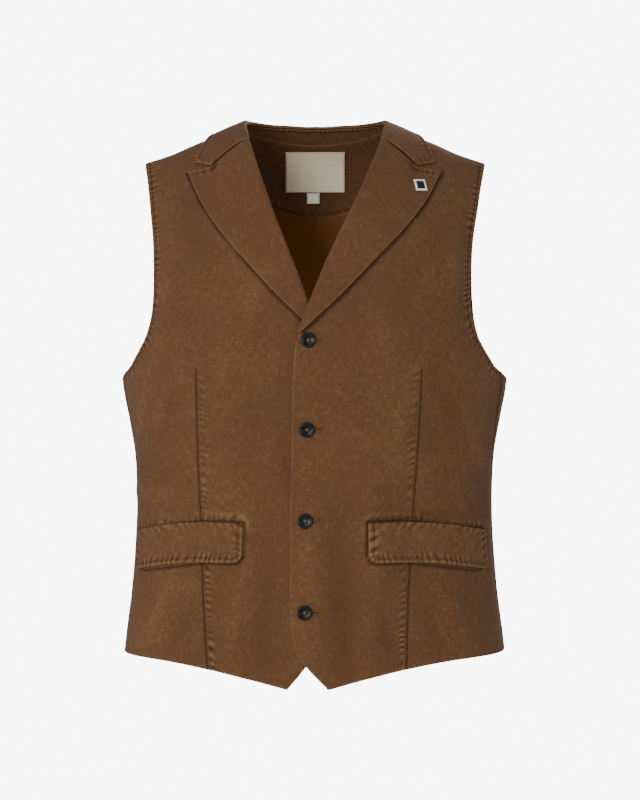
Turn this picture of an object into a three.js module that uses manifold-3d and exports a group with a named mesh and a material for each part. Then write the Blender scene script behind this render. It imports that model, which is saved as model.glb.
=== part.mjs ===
// A single-breasted suit waistcoat with peak lapels and four buttons, filled out as if worn.
// Sizes are millimetres. +Z is up, the closure faces -Y and the wearer's left side is at +X.
// The origin lies midway between the middles of the two shoulder seams.
import * as THREE from "three";
import { mergeVertices } from "three/addons/utils/BufferGeometryUtils.js";
import Module from "manifold-3d";

// Cloth walls, and the gap that is left wherever two pieces meet
const CLOTH = 1.6; // a front or a back, with its interlining
const LEAF = 1.3; // a lapel, the collar or its stand
const LINING = 1.0; // the lining and the back neck facing
const FLAP = 1.8; // a pocket flap, two layers turned through
const LINING_AIR = 0.9; // between the back and its lining
const LABEL = 1.0;
const LABEL_AIR = 1.2;
const SEAM_GAP = 0.3;
const LAID_GAP = 0.6; // under a piece that lies on a panel, so that their facets stay apart

// Shape of the body of the garment
const SECTION_POWER = 2.3; // every level section is a superellipse of this power
const SHOULDER_POWER = 1.8; // how squarely the cloth turns over the shoulder
const SHOULDER_REACH = 150; // height over which it turns
const CORE = new THREE.Vector3(0, 0, -250); // a point that every outer face looks away from
const CLOSING_POWER = 1.6; // how much closer a panel's rows lie towards the shoulder
const EDGE_STEPS = 160; // of the walk along an edge
const MAP_STEP = { across: 1e-3, down: 0.05 }; // for finding a face's direction

// Level sections from below the hem to above the shoulders: half the width, and the front's
// and the back's depth from the plane of the side seams
const SECTIONS = [
  { z: -620, half: 213, front: 118, back: 116 },
  { z: -553, half: 208.5, front: 117, back: 111 },
  { z: -480, half: 199.5, front: 114, back: 100 },
  { z: -400, half: 194.5, front: 112, back: 90 },
  { z: -340, half: 196.5, front: 113.5, back: 89 },
  { z: -300, half: 203, front: 115.5, back: 93 },
  { z: -258, half: 210.5, front: 118, back: 99 },
  { z: -242, half: 207, front: 118.5, back: 101 },
  { z: -227, half: 203, front: 119, back: 103 },
  { z: -212, half: 198.5, front: 119, back: 105 },
  { z: -182, half: 193.5, front: 119, back: 108 },
  { z: -137, half: 193, front: 118, back: 111 },
  { z: -75, half: 195, front: 116, back: 114 },
  { z: -20, half: 197, front: 116, back: 133 },
  { z: 8, half: 198, front: 116, back: 149 },
  { z: 60, half: 200, front: 116, back: 160 },
];

// Height of the shoulder line at each distance from the middle
const SHOULDER_LINE = [
  { x: 0, z: 36 },
  { x: 42, z: 33.5 },
  { x: 82, z: 22.5 },
  { x: 116, z: 8 },
  { x: 136, z: 0 },
  { x: 155, z: -8.6 },
  { x: 170, z: -14 },
  { x: 187, z: -19.5 },
];

// How far the closure hangs to the wearer's right of the middle, from hem to neck
const CLOSURE_SHIFT = [
  { z: -590, x: -7.5 },
  { z: -561, x: -9.5 },
  { z: -505, x: -11 },
  { z: -408, x: -10.5 },
  { z: -311, x: -8.5 },
  { z: -208, x: -7 },
  { z: -137, x: -6 },
  { z: -60, x: -3 },
  { z: 10, x: 0 },
];

// Where the fronts overlap, how far the left one lies out and the right one lies in
const OVERLAP_NEAR = 20; // full inside this distance from the centre front
const OVERLAP_FAR = 78; // none beyond this one
const OVERLAP = [
  { z: -590, left: 1.2, right: 1.2 },
  { z: -300, left: 1.2, right: 1.2 },
  { z: -240, left: 2.2, right: 1.6 },
  { z: -190, left: 3.2, right: 2.2 },
  { z: -140, left: 1.6, right: 1 },
  { z: -70, left: 0, right: 0 },
  { z: 0, left: 0, right: 0 },
];

// The largest soft folds of the fronts and the back. Each is a ridge, or a trough where deep is
// negative, centred at x and z. It leans by lean across for each millimetre up.
const FRONT_FOLDS = [
  { x: 31, z: -386, across: 22, along: 105, lean: -0.12, deep: -2.4 },
  { x: 40, z: -518, across: 26, along: 45, lean: 0, deep: -2 },
  { x: -52, z: -514, across: 18, along: 62, lean: 0, deep: -2.6 },
  { x: -160, z: -500, across: 14, along: 48, lean: 0.41, deep: 2.2 },
  { x: 152, z: -330, across: 18, along: 60, lean: -0.2, deep: -1.6 },
  { x: -154, z: -140, across: 16, along: 80, lean: 0, deep: 1.4 },
  { x: 108, z: -165, across: 18, along: 60, lean: 0.25, deep: -1.5 },
];
const BACK_FOLDS = [
  { x: 62, z: -400, across: 20, along: 95, lean: -0.1, deep: -3 },
  { x: -58, z: -412, across: 22, along: 85, lean: 0.08, deep: -2.6 },
  { x: 132, z: -350, across: 18, along: 75, lean: -0.25, deep: 2.2 },
  { x: -135, z: -372, across: 18, along: 70, lean: 0.2, deep: 2 },
];

// Front edge of a front from the hem's point to the break of the lapel. x is the distance past the
// centre front towards the wearer's side, negative where the fronts overlap.
const HEM_POINT = { x: 21.8, z: -587 };
const BREAK_POINT = { x: -10, z: -208 };
const FRONT_EDGE = [
  HEM_POINT,
  { x: 7, z: -571 },
  { x: -2, z: -560.5 },
  { x: -7, z: -553 },
  { x: -11, z: -543 },
  { x: -13.6, z: -531 },
  { x: -15.6, z: -505 },
  { x: -16, z: -420 },
  { x: -16, z: -320 },
  { x: -15.6, z: -245 },
  { x: -13.6, z: -222 },
  BREAK_POINT,
];

// Roll line from the break up to the gorge, where the lapel meets the collar
const GORGE = { x: 74.5, z: 2 };
const ROLL_LINE = [
  BREAK_POINT,
  { x: -1.6, z: -187 },
  { x: 18.2, z: -138 },
  { x: 44.5, z: -77 },
  { x: 61, z: -36 },
  GORGE,
];

// Outer edge of the lapel from the break to the peak, and the notch above it
const PEAK = { x: 137, z: -33 };
const NOTCH = { x: 110.5, z: -28.2 };
const LAPEL_EDGE = [
  { x: -6.8, z: -206 },
  { x: 4, z: -196 },
  { x: 35, z: -166.5 },
  { x: 68, z: -131 },
  { x: 96.5, z: -99.5 },
  { x: 119.5, z: -68 },
  PEAK,
];
const NOTCH_AT = 0.64; // share of the lapel's top edge that is gorge seam
const COLLAR_NOTCH_AT = 0.72; // share of the collar's front edge that is gorge seam
const COLLAR_POINT = { x: 130, z: -24 };

// Hem of a front and of the back, by distance from the middle
const UNDERARM_Z = -256;
const CHEST_Z = -225; // of the level line from the centre back to the armhole
const SIDE_HEM_Z = -553;
const FRONT_HEM = [
  { x: 60, z: -577 },
  { x: 108, z: -566 },
  { x: 160, z: -558 },
];
const BACK_HEM_Z = -549;

// Armhole edge: its bottom beside the underarm, and from the end of that bottom to just below the
// shoulder
const ARMHOLE_BOTTOM = { z: -243.5, front: 199, back: 200 };
const ARMHOLE = [
  { z: -228, front: 189, back: 190.5 },
  { z: -212, front: 180.5, back: 183.5 },
  { z: -197, front: 175.5, back: 179.5 },
  { z: -180, front: 172.6, back: 177 },
  { z: -158, front: 171.4, back: 175.6 },
  { z: -132, front: 172, back: 175.4 },
  { z: -104, front: 174, back: 176.6 },
  { z: -75, front: 178, back: 179.6 },
  { z: -45, front: 182.4, back: 183.4 },
];
const SHOULDER_TIP_X = 187;
const NECK_POINT_X = 82;
const CHEST_AT = 0.77; // share of a panel's width, below the armhole, that lies under its upper part
const ARMHOLE_AT = 0.47; // share of the facing's arc above the chest line, the rest faces the armhole

// Neck seam from the gorge to the centre back, seen from above, with the collar's outer edge
// beside it. The collar's fold stands inset from the seam, at the height that fold gives.
const COLLAR = [
  { x: 79.8, y: -22, edgeX: 119, edgeY: -20, inset: 2, fold: 19 },
  { x: NECK_POINT_X, y: 0, edgeX: 114, edgeY: 0, inset: 3.5, fold: 28 },
  { x: 79, y: 26, edgeX: 109.5, edgeY: 27, inset: 4.5, fold: 29.5 },
  { x: 68, y: 49, edgeX: 99, edgeY: 53, inset: 5.5, fold: 29 },
  { x: 48, y: 67, edgeX: 72, edgeY: 79, inset: 6, fold: 28 },
  { x: 24, y: 77, edgeX: 37, edgeY: 93, inset: 6, fold: 27.5 },
  { x: 0, y: 80, edgeX: 0, edgeY: 97, inset: 6, fold: 27.3 },
];
const NECK_CENTRE_Y = 15;
const COLLAR_ROWS = 32;
const FRONT_FADE = 0.14; // share of the collar's length over which its front edge's bend dies out
const GORGE_GAP = 0.5; // between the collar's front edge and the lapel's top edge
const STAND_FROM = 6; // the row of the collar at which its stand begins
const STAND_CLEAR = 1.4; // at the stand's foot and under the fold, where walls meet at an angle
const FULL_RISE = 16; // rise of the fold from which the stand counts as full

// Turn of the lapels and the collar about their roll line
const ROLL_AIR = 1.2; // between the panel's face and a lapel at its fullest roll
const BREAK_AIR = 0.4; // the same at the break, where the lapel lies flat
const LEAF_FADE = 1.6; // how quickly the collar comes down from its fold to the shoulder
const LAPEL_TURN = -30; // how far under it the turn reaches, in degrees below level
const COLLAR_TURN_FRONT = -85; // the same for the collar, at the gorge
const COLLAR_TURN_BACK = -50; // and where its stand is full
const TURN_END = 66; // where the turn gives way to the leaf
const TURN_STEPS = 4;
const COLLAR_AIR = 2; // under the collar where it lies on the shoulders

// Back neck facing, whose lower edge is an arc, and the lining below it
const FACING_DROP = 69; // below the origin at the centre back
const FACING_ARC = 215; // twice the arc's radius near the centre back
const FACING_HALF = 113; // where the arc reaches the shoulder seam
const LINING_INSET = 1.2;
const FACING_INSET = { end: 2, below: 0 }; // short of the shoulder seam

// Pocket flaps, as distances from the centre front and heights
const FLAP_INNER_X = 66.5;
const FLAP_OUTER_X = 186.5;
const FLAP_LINES = [
  { share: 0, top: -410.5, bottom: -453 },
  { share: 0.35, top: -410, bottom: -453 },
  { share: 0.7, top: -415, bottom: -458 },
  { share: 1, top: -420.5, bottom: -463.5 },
];
const FLAP_LENGTH = 135; // along the cloth
const FLAP_CORNER = 9; // radius of the lower corners
const FLAP_FLARE = 1.2; // how far the lower edge stands off

// Buttons, down the centre front
const BUTTON_Z = [-216, -311, -408, -505];
const BUTTON_R = 8.2;
const BUTTON_T = 3;
const BUTTON_HOLE_R = 0.9;
const BUTTON_HOLE_OUT = 1.9; // from the middle to each of the four holes
const BUTTON_SIDES = 16;
const STAND_SPAN = 4; // half the span over which a button or a pin takes the cloth's direction

// Neck label, the tag below it and the lapel pin
const LABEL_BOX = { left: -34, right: 34, bottom: -43, top: 3.5 };
const TAG_BOX = { left: -9.5, right: 5, bottom: -56, top: -43.7 };
const PIN = { x: 113.5, z: -50, side: 13.4, thick: 1.6, rim: 2, recess: 0.9, sunk: 0.15, bevel: 0.5, turn: 0.03 };

const COLOURS = {
  cloth: 0x68462b,
  facing: 0x5c3d25,
  lining: 0x8a5a1e,
  horn: 0x1c1a1b,
  label: 0xb9a890,
  enamel: 0xe6e0d2,
  inlay: 0x14120f,
};

const vec = (x, y, z) => new THREE.Vector3(x, y, z);
const mix = (a, b, t) => a + (b - a) * t;
const clamp01 = (t) => Math.min(Math.max(t, 0), 1);
const ease = (t) => clamp01(t) ** 2 * (3 - 2 * clamp01(t));
const steps = (n, from = 0, to = 1) => Array.from({ length: n + 1 }, (_, i) => mix(from, to, i / n));

// A smooth function through one column of a table whose rows rise in another column.
function smooth(rows, by, column) {
  const at = rows.map((row) => row[by]);
  const value = rows.map((row) => row[column]);
  const last = at.length - 1;
  const slope = value.map((_, i) => {
    const [a, b] = [Math.max(i - 1, 0), Math.min(i + 1, last)];
    return (value[b] - value[a]) / (at[b] - at[a]);
  });
  return (where) => {
    let i = 0;
    while (i < last - 1 && where > at[i + 1]) i += 1;
    const span = at[i + 1] - at[i];
    const t = clamp01((where - at[i]) / span);
    const rest = 1 - t;
    return (
      value[i] * rest * rest * (1 + 2 * t) +
      value[i + 1] * t * t * (3 - 2 * t) +
      slope[i] * span * t * rest * rest -
      slope[i + 1] * span * t * t * rest
    );
  };
}

const halfWidth = smooth(SECTIONS, "z", "half");
const depthOf = {
  front: smooth(SECTIONS, "z", "front"),
  back: smooth(SECTIONS, "z", "back"),
};
const shoulderLine = smooth(SHOULDER_LINE, "x", "z");
const closureShift = smooth(CLOSURE_SHIFT, "z", "x");
const overlapOf = {
  left: smooth(OVERLAP, "z", "left"),
  right: smooth(OVERLAP, "z", "right"),
};
const foldsOf = { front: FRONT_FOLDS, back: BACK_FOLDS };

// How far the folds move a panel out at a point of it.
function foldLift(face, x, z) {
  return foldsOf[face].reduce((sum, fold) => {
    const up = (z - fold.z) / fold.along;
    const over = (x - fold.x - fold.lean * (z - fold.z)) / fold.across;
    return sum + fold.deep * Math.exp(-up * up - over * over);
  }, 0);
}

// Share of the full depth that cloth has at a height below the shoulder line.
function shoulderTurn(below) {
  const share = clamp01(below / SHOULDER_REACH);
  return (1 - (1 - share) ** SHOULDER_POWER) ** (1 / SHOULDER_POWER);
}

// Share of the section's depth at a distance from the middle.
function sectionShare(x, z) {
  return (1 - Math.min(Math.abs(x) / halfWidth(z), 1) ** SECTION_POWER) ** (1 / SECTION_POWER);
}

// A point of the garment's outer face. x is the distance from the middle towards the side that
// side gives: 1 is the wearer's left and -1 the right.
function onGarment(face, side, x, z) {
  const share = sectionShare(x, z) * shoulderTurn(shoulderLine(Math.abs(x)) - z);
  const soft = Math.min(share * 3, 1);
  const depth = depthOf[face](z) * share + soft * foldLift(face, side * x, z);
  if (face === "back") return vec(side * x, depth, z);
  const near = 1 - ease((Math.abs(x) - OVERLAP_NEAR) / (OVERLAP_FAR - OVERLAP_NEAR));
  const lap = near * (side > 0 ? overlapOf.left(z) : -overlapOf.right(z));
  return vec(side * x + closureShift(z) * share, -depth - lap, z);
}

// Height of the garment's outer face near the shoulder, above a point seen from above.
function shoulderHeight(face, x, y) {
  let z = shoulderLine(Math.abs(x));
  for (let i = 0; i < 12; i += 1) {
    const share = Math.min(Math.abs(y) / (depthOf[face](z) * sectionShare(x, z)), 1);
    const below = 1 - (1 - share ** SHOULDER_POWER) ** (1 / SHOULDER_POWER);
    z = shoulderLine(Math.abs(x)) - SHOULDER_REACH * below;
  }
  return z;
}

// Girth share, 0 at the middle and 1 at the side seam's plane, of a distance from the middle.
function girthOf(x, z) {
  const share = Math.min(Math.abs(x) / halfWidth(z), 1);
  return (Math.sign(x) * 2 * Math.asin(share ** (SECTION_POWER / 2))) / Math.PI;
}

// Distance from the middle at a girth share.
function atGirth(girth, z) {
  const turn = Math.sin((Math.abs(girth) * Math.PI) / 2);
  return Math.sign(girth) * halfWidth(z) * turn ** (2 / SECTION_POWER);
}

// Girth share of the side seam, half a seam gap short of its plane.
function seamGirth(face, z) {
  const share = SEAM_GAP / 2 / depthOf[face](z);
  return (2 * Math.acos(share ** (SECTION_POWER / 2))) / Math.PI;
}

// Lengths walked along a row of points, up to each of them.
function walkAlong(points) {
  const walked = [0];
  for (let i = 1; i < points.length; i += 1) {
    walked.push(walked[i - 1] + points[i].distanceTo(points[i - 1]));
  }
  return walked;
}

// An even walk along a smooth curve through stations of a flat map, as the cloth's own length.
function edge(stations, place) {
  const knots = walkAlong(stations.map(place));
  const rows = stations.map(([a, b], i) => ({ at: knots[i], a, b }));
  const [a, b] = [smooth(rows, "at", "a"), smooth(rows, "at", "b")];
  const total = knots[knots.length - 1];
  const fine = steps(EDGE_STEPS, 0, total);
  const walked = walkAlong(fine.map((at) => place([a(at), b(at)])));
  const length = walked[walked.length - 1];
  return (share) => {
    const goal = clamp01(share) * length;
    let i = 0;
    while (i < walked.length - 2 && walked[i + 1] < goal) i += 1;
    const at = mix(fine[i], fine[i + 1], (goal - walked[i]) / (walked[i + 1] - walked[i]));
    return [a(at), b(at)];
  };
}

// Shares of the way up that come closer together towards the shoulder, where the cloth turns most.
const closing = (n) => steps(n).map((t) => 1 - (1 - t) ** CLOSING_POWER);

// Two edges walked one after the other, the second from the share given.
const joined = (first, second, from) => (share) =>
  share <= from ? first(share / from) : second((share - from) / (1 - from));

// A point of the map inside four edges, at u across and v up.
function inside({ bottom, top, left, right }, u, v) {
  const [b, t, l, r] = [bottom(u), top(u), left(v), right(v)];
  const [bl, br, tl, tr] = [bottom(0), bottom(1), top(0), top(1)];
  return [0, 1].map((k) => {
    const rows = (1 - v) * b[k] + v * t[k];
    const columns = (1 - u) * l[k] + u * r[k];
    const corners = (1 - v) * mix(bl[k], br[k], u) + v * mix(tl[k], tr[k], u);
    return rows + columns - corners;
  });
}

// The outward direction of a surface at a point of its map. A step towards the middle and a step
// down stay on the cloth everywhere.
function outward(place, [a, b]) {
  const here = place([a, b]);
  const across = place([a - Math.sign(a || 1) * MAP_STEP.across, b]).sub(here);
  const out = across.cross(place([a, b - MAP_STEP.down]).sub(here)).normalize();
  return out.dot(here.sub(CORE)) < 0 ? out.negate() : out;
}

// A grid of spots, one row for each v, of a map patch that place puts in space. A spot is a point
// of a surface with its outward direction.
const gridOf = (patch, place, us, vs) =>
  vs.map((v) =>
    us.map((u) => {
      const at = inside(patch, u, v);
      return { at: place(at), out: outward(place, at) };
    }),
  );

// Spots for a grid of bare points, with directions taken from the points beside each one.
function spotsOf(points) {
  const [rows, columns] = [points.length, points[0].length];
  let away = 0;
  const grid = points.map((row, j) =>
    row.map((at, i) => {
      const [before, after] = [points[j][Math.max(i - 1, 0)], points[j][Math.min(i + 1, columns - 1)]];
      const [below, above] = [points[Math.max(j - 1, 0)][i], points[Math.min(j + 1, rows - 1)][i]];
      const out = after.clone().sub(before).cross(above.clone().sub(below)).normalize();
      away += out.dot(at.clone().sub(CORE));
      return { at, out };
    }),
  );
  if (away < 0) grid.flat().forEach(({ out }) => out.negate());
  return grid;
}

// A grid moved out by a distance for each column share and row share.
function moved(grid, distance) {
  return grid.map((row, j) =>
    row.map(({ at, out }, i) => {
      const by = distance(i / (row.length - 1), j / (grid.length - 1));
      return { at: at.clone().addScaledVector(out, by), out };
    }),
  );
}

// A closed wall of even thickness under one or more grids of spots that share their edges. Where
// squareTo names an axis for a point, the wall's edge keeps square to it and meets its neighbour flat.
function wall(grids, thickness, squareTo = () => null) {
  const spots = [];
  const known = new Map();
  const indexOf = (spot) => {
    const key = spot.at.toArray().map((value) => value.toFixed(4)).join();
    if (!known.has(key)) known.set(key, spots.push(spot) - 1);
    return known.get(key);
  };
  const quads = grids.flatMap((grid) => {
    const [a, b, c] = [grid[0][0].at, grid[0][1].at, grid[1][0].at];
    const backwards = b.clone().sub(a).cross(c.clone().sub(a)).dot(grid[0][0].out) < 0;
    return grid.slice(1).flatMap((row, j) =>
      row.slice(1).map((spot, i) => {
        const ring = [grid[j][i], grid[j][i + 1], spot, row[i]].map(indexOf);
        return backwards ? ring.reverse() : ring;
      }),
    );
  });
  const under = spots.length;
  const inner = spots.map(({ at, out }) => {
    const way = out.clone();
    const axis = squareTo(at);
    if (axis) way[axis] = 0;
    return at.clone().addScaledVector(way.normalize(), -thickness);
  });
  const faces = [];
  const face = (p, q, r, t) => faces.push(p, q, r, p, r, t);
  const rim = new Map();
  for (const [p, q, r, t] of quads) {
    face(p, q, r, t);
    face(p + under, t + under, r + under, q + under);
    for (const [from, to] of [[p, q], [q, r], [r, t], [t, p]]) {
      if (!rim.delete(`${to},${from}`)) rim.set(`${from},${to}`, [from, to]);
    }
  }
  for (const [from, to] of rim.values()) face(to, from, from + under, to + under);
  const geometry = new THREE.BufferGeometry().setFromPoints([...spots.map(({ at }) => at), ...inner]);
  geometry.setIndex(faces);
  geometry.computeVertexNormals();
  return geometry;
}

// A grid whose last column and first row are drawn in towards their neighbours.
function drawnIn(grid, { end, below }) {
  const pull = (from, to, by) => {
    const away = to.at.clone().sub(from.at);
    return { at: from.at.clone().addScaledVector(away.normalize(), by), out: from.out };
  };
  const [first, ...others] = grid.map((row) => {
    const [beside, outermost] = row.slice(-2);
    return [...row.slice(0, -1), pull(outermost, beside, end)];
  });
  return [first.map((spot, i) => pull(spot, others[0][i], below)), ...others];
}

// A leaf of cloth with its fold added: extra columns that turn back under its first column.
function withFold(leaf, radiusAt, reachAt) {
  const points = leaf.map((row, j) => {
    const [before, after] = [leaf[Math.max(j - 1, 0)], leaf[Math.min(j + 1, leaf.length - 1)]];
    const along = after[0].at.clone().sub(before[0].at);
    const { at, out } = row[0];
    const nose = along.cross(out).normalize();
    if (nose.dot(row[1].at.clone().sub(at)) > 0) nose.negate();
    const share = j / (leaf.length - 1);
    const radius = radiusAt(share);
    const centre = at.clone().addScaledVector(out, -radius);
    const fold = steps(TURN_STEPS, reachAt(share), TURN_END).map((degrees) => {
      const angle = THREE.MathUtils.degToRad(degrees);
      const spot = centre.clone().addScaledVector(nose, radius * Math.cos(angle));
      return spot.addScaledVector(out, radius * Math.sin(angle));
    });
    return [...fold, ...row.map((spot) => spot.at)];
  });
  return spotsOf(points);
}

const group = new THREE.Group();
group.name = "waistcoat";

// Adds one named piece in one of the garment's colours.
function add(name, geometry, colour, finish = {}) {
  const look = { color: COLOURS[colour], roughness: 0.85, metalness: 0, ...finish };
  const material = new THREE.MeshStandardMaterial(look);
  const mesh = new THREE.Mesh(geometry, material);
  mesh.name = name;
  group.add(mesh);
  return mesh;
}

const sideName = (side) => (side > 0 ? "left" : "right");

// Stations of the neck seam and the roll line, shared by every piece that meets them
const gorgeY = onGarment("front", 0, GORGE.x, GORGE.z).y;
const neckFront = { x: COLLAR[0].x, z: shoulderHeight("front", COLLAR[0].x, COLLAR[0].y) };
const shoulderSeamZ = (face, x) => shoulderHeight(face, x, SEAM_GAP / 2);

// The axis that a wall's edge keeps square to: across at the side and shoulder seams, and along
// the middle at the centre back.
function seamAxis({ x, y }) {
  if (Math.abs(y) < 2 * SEAM_GAP) return "y";
  return y > 0 && Math.abs(x) < SEAM_GAP ? "x" : null;
}

// A front: one forepart from the front edge to the side seam, hem to shoulder.
function frontPanel(side) {
  const place = ([girth, z]) => onGarment("front", side, atGirth(girth, z), z);
  const station = ({ x, z }) => [girthOf(x, z), z];
  const sideSeam = (z) => [seamGirth("front", z), z];
  const onShoulder = (x) => station({ x, z: shoulderSeamZ("front", x) });
  const onArmhole = (row) => station({ x: row.front, z: row.z });
  const [bottom, armhole] = [onArmhole(ARMHOLE_BOTTOM), ARMHOLE.map(onArmhole)];
  const chest = edge([station(BREAK_POINT), armhole[0]], place);
  const lower = {
    bottom: edge([station(HEM_POINT), ...FRONT_HEM.map(station), sideSeam(SIDE_HEM_Z)], place),
    top: joined(chest, edge([armhole[0], bottom, sideSeam(UNDERARM_Z)], place), CHEST_AT),
    left: edge(FRONT_EDGE.map(station), place),
    right: edge(steps(6, SIDE_HEM_Z, UNDERARM_Z).map(sideSeam), place),
  };
  const upper = {
    bottom: chest,
    top: edge(steps(14, NECK_POINT_X, SHOULDER_TIP_X).map(onShoulder), place),
    left: edge([...ROLL_LINE.map(station), station(neckFront), onShoulder(NECK_POINT_X)], place),
    right: edge([...armhole, onShoulder(SHOULDER_TIP_X)], place),
  };
  return wall(
    [gridOf(lower, place, chestColumns(10, 4), steps(15)), gridOf(upper, place, steps(10), closing(14))],
    CLOTH,
    seamAxis,
  );
}

// Column shares of a panel's lower part: some under its upper part and some under the armhole.
const chestColumns = (under, beside) => [
  ...steps(under, 0, CHEST_AT),
  ...steps(beside, CHEST_AT, 1).slice(1),
];

// Height of the curved line under the back neck facing.
const facingArc = (x) => -FACING_DROP + (x * x) / FACING_ARC;

// The grids of half of the back: below the chest, from the facing's arc out to the chest and the
// armhole, and from the arc to the neck.
function backGrids(side) {
  const place = ([girth, z]) => onGarment("back", side, atGirth(girth, z), z);
  const station = ({ x, z }) => [girthOf(x, z), z];
  const onShoulder = (x) => station({ x, z: shoulderSeamZ("back", x) });
  const sideSeam = (z) => [seamGirth("back", z), z];
  const centre = (z) => station({ x: SEAM_GAP / 2, z });
  const neckSeam = COLLAR.slice(2).map(({ x, y }) => {
    const from = Math.max(x, SEAM_GAP / 2);
    return station({ x: from, z: shoulderHeight("back", from, y) });
  });
  const onArmhole = (row) => station({ x: row.back, z: row.z });
  const [bottom, armhole] = [onArmhole(ARMHOLE_BOTTOM), ARMHOLE.map(onArmhole)];
  const neckTop = neckSeam[neckSeam.length - 1][1];
  const chest = edge([centre(CHEST_Z), armhole[0]], place);
  const onArc = steps(5, 20, 100).map((x) => station({ x, z: facingArc(x) }));
  const arc = edge([centre(facingArc(0)), ...onArc, onShoulder(FACING_HALF)], place);
  const low = {
    bottom: edge([centre(BACK_HEM_Z), sideSeam(SIDE_HEM_Z)], place),
    top: joined(chest, edge([armhole[0], bottom, sideSeam(UNDERARM_Z)], place), CHEST_AT),
    left: edge([BACK_HEM_Z, -400, CHEST_Z].map(centre), place),
    right: edge(steps(6, SIDE_HEM_Z, UNDERARM_Z).map(sideSeam), place),
  };
  const middle = {
    bottom: arc,
    top: joined(chest, edge([...armhole, onShoulder(SHOULDER_TIP_X)], place), ARMHOLE_AT),
    left: edge(steps(4, facingArc(0), CHEST_Z).map(centre), place),
    right: edge(steps(10, FACING_HALF, SHOULDER_TIP_X).map(onShoulder), place),
  };
  const high = {
    bottom: arc,
    top: edge([...neckSeam].reverse().concat([onShoulder(NECK_POINT_X)]), place),
    left: edge(steps(4, facingArc(0), neckTop).map(centre), place),
    right: edge(steps(6, FACING_HALF, NECK_POINT_X).map(onShoulder), place),
  };
  const us = [...steps(7, 0, ARMHOLE_AT), ...steps(7, ARMHOLE_AT, 1).slice(1)];
  return {
    low: gridOf(low, place, chestColumns(7, 3), steps(11)),
    middle: gridOf(middle, place, us, steps(9)),
    high: gridOf(high, place, us, steps(4)),
  };
}

// Half of the back, from the centre back seam to the side seam, hem to shoulder and neck.
function backPanel(side) {
  const { low, middle, high } = backGrids(side);
  return wall([low, middle, high], CLOTH, seamAxis);
}

// A lapel: the turned-back leaf from its roll line to its outer edge and peak.
function lapel(side) {
  const place = ([x, z]) => onGarment("front", side, x, z);
  const station = ({ x, z }) => [x, z];
  const lowered = ({ x, z }) => [x, z - SEAM_GAP];
  const roll = [...ROLL_LINE.slice(0, -1).map(station), lowered(GORGE)];
  const patch = {
    bottom: edge([station(BREAK_POINT), station(LAPEL_EDGE[0])], place),
    top: joined(
      edge([lowered(GORGE), lowered(NOTCH)], place),
      edge([lowered(NOTCH), station(PEAK)], place),
      NOTCH_AT,
    ),
    left: edge(roll, place),
    right: edge(LAPEL_EDGE.map(station), place),
  };
  const us = [...steps(6, 0, NOTCH_AT), ...steps(3, NOTCH_AT, 1).slice(1)];
  const base = gridOf(patch, place, us, steps(18));
  const air = (v) => mix(BREAK_AIR, ROLL_AIR, ease(v * 3));
  const leaf = moved(base, (u, v) => LEAF + mix(air(v), Math.min(air(v), LAID_GAP), ease(u * 1.5)));
  return wall([withFold(leaf, (v) => LEAF + air(v) + CLOTH / 2, () => LAPEL_TURN)], LEAF);
}

// A point of the garment's outer face near the neck, seen from above.
function overShoulder([x, y]) {
  const face = y < 0 ? "front" : "back";
  const z = shoulderHeight(face, x, y);
  const side = Math.sign(x) || 1;
  const spot = onGarment(face, side, Math.abs(x), z);
  return vec(spot.x, y, z);
}

// Collar stations from one gorge round the back of the neck to the other
const gorgeStation = {
  x: GORGE.x,
  y: gorgeY,
  edgeX: COLLAR_POINT.x,
  edgeY: onGarment("front", 0, COLLAR_POINT.x, COLLAR_POINT.z).y,
  inset: 0,
  fold: 0,
};
const halfCollar = [gorgeStation, ...COLLAR].map((row) => ({
  ...row,
  rise: Math.max(row.fold - LEAF - ROLL_AIR - overShoulder([row.x, row.y]).z, 0),
}));
const mirrored = (row) => ({ ...row, x: -row.x, edgeX: -row.edgeX });
const wholeCollar = [...halfCollar, ...halfCollar.slice(0, -1).reverse().map(mirrored)];

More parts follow.
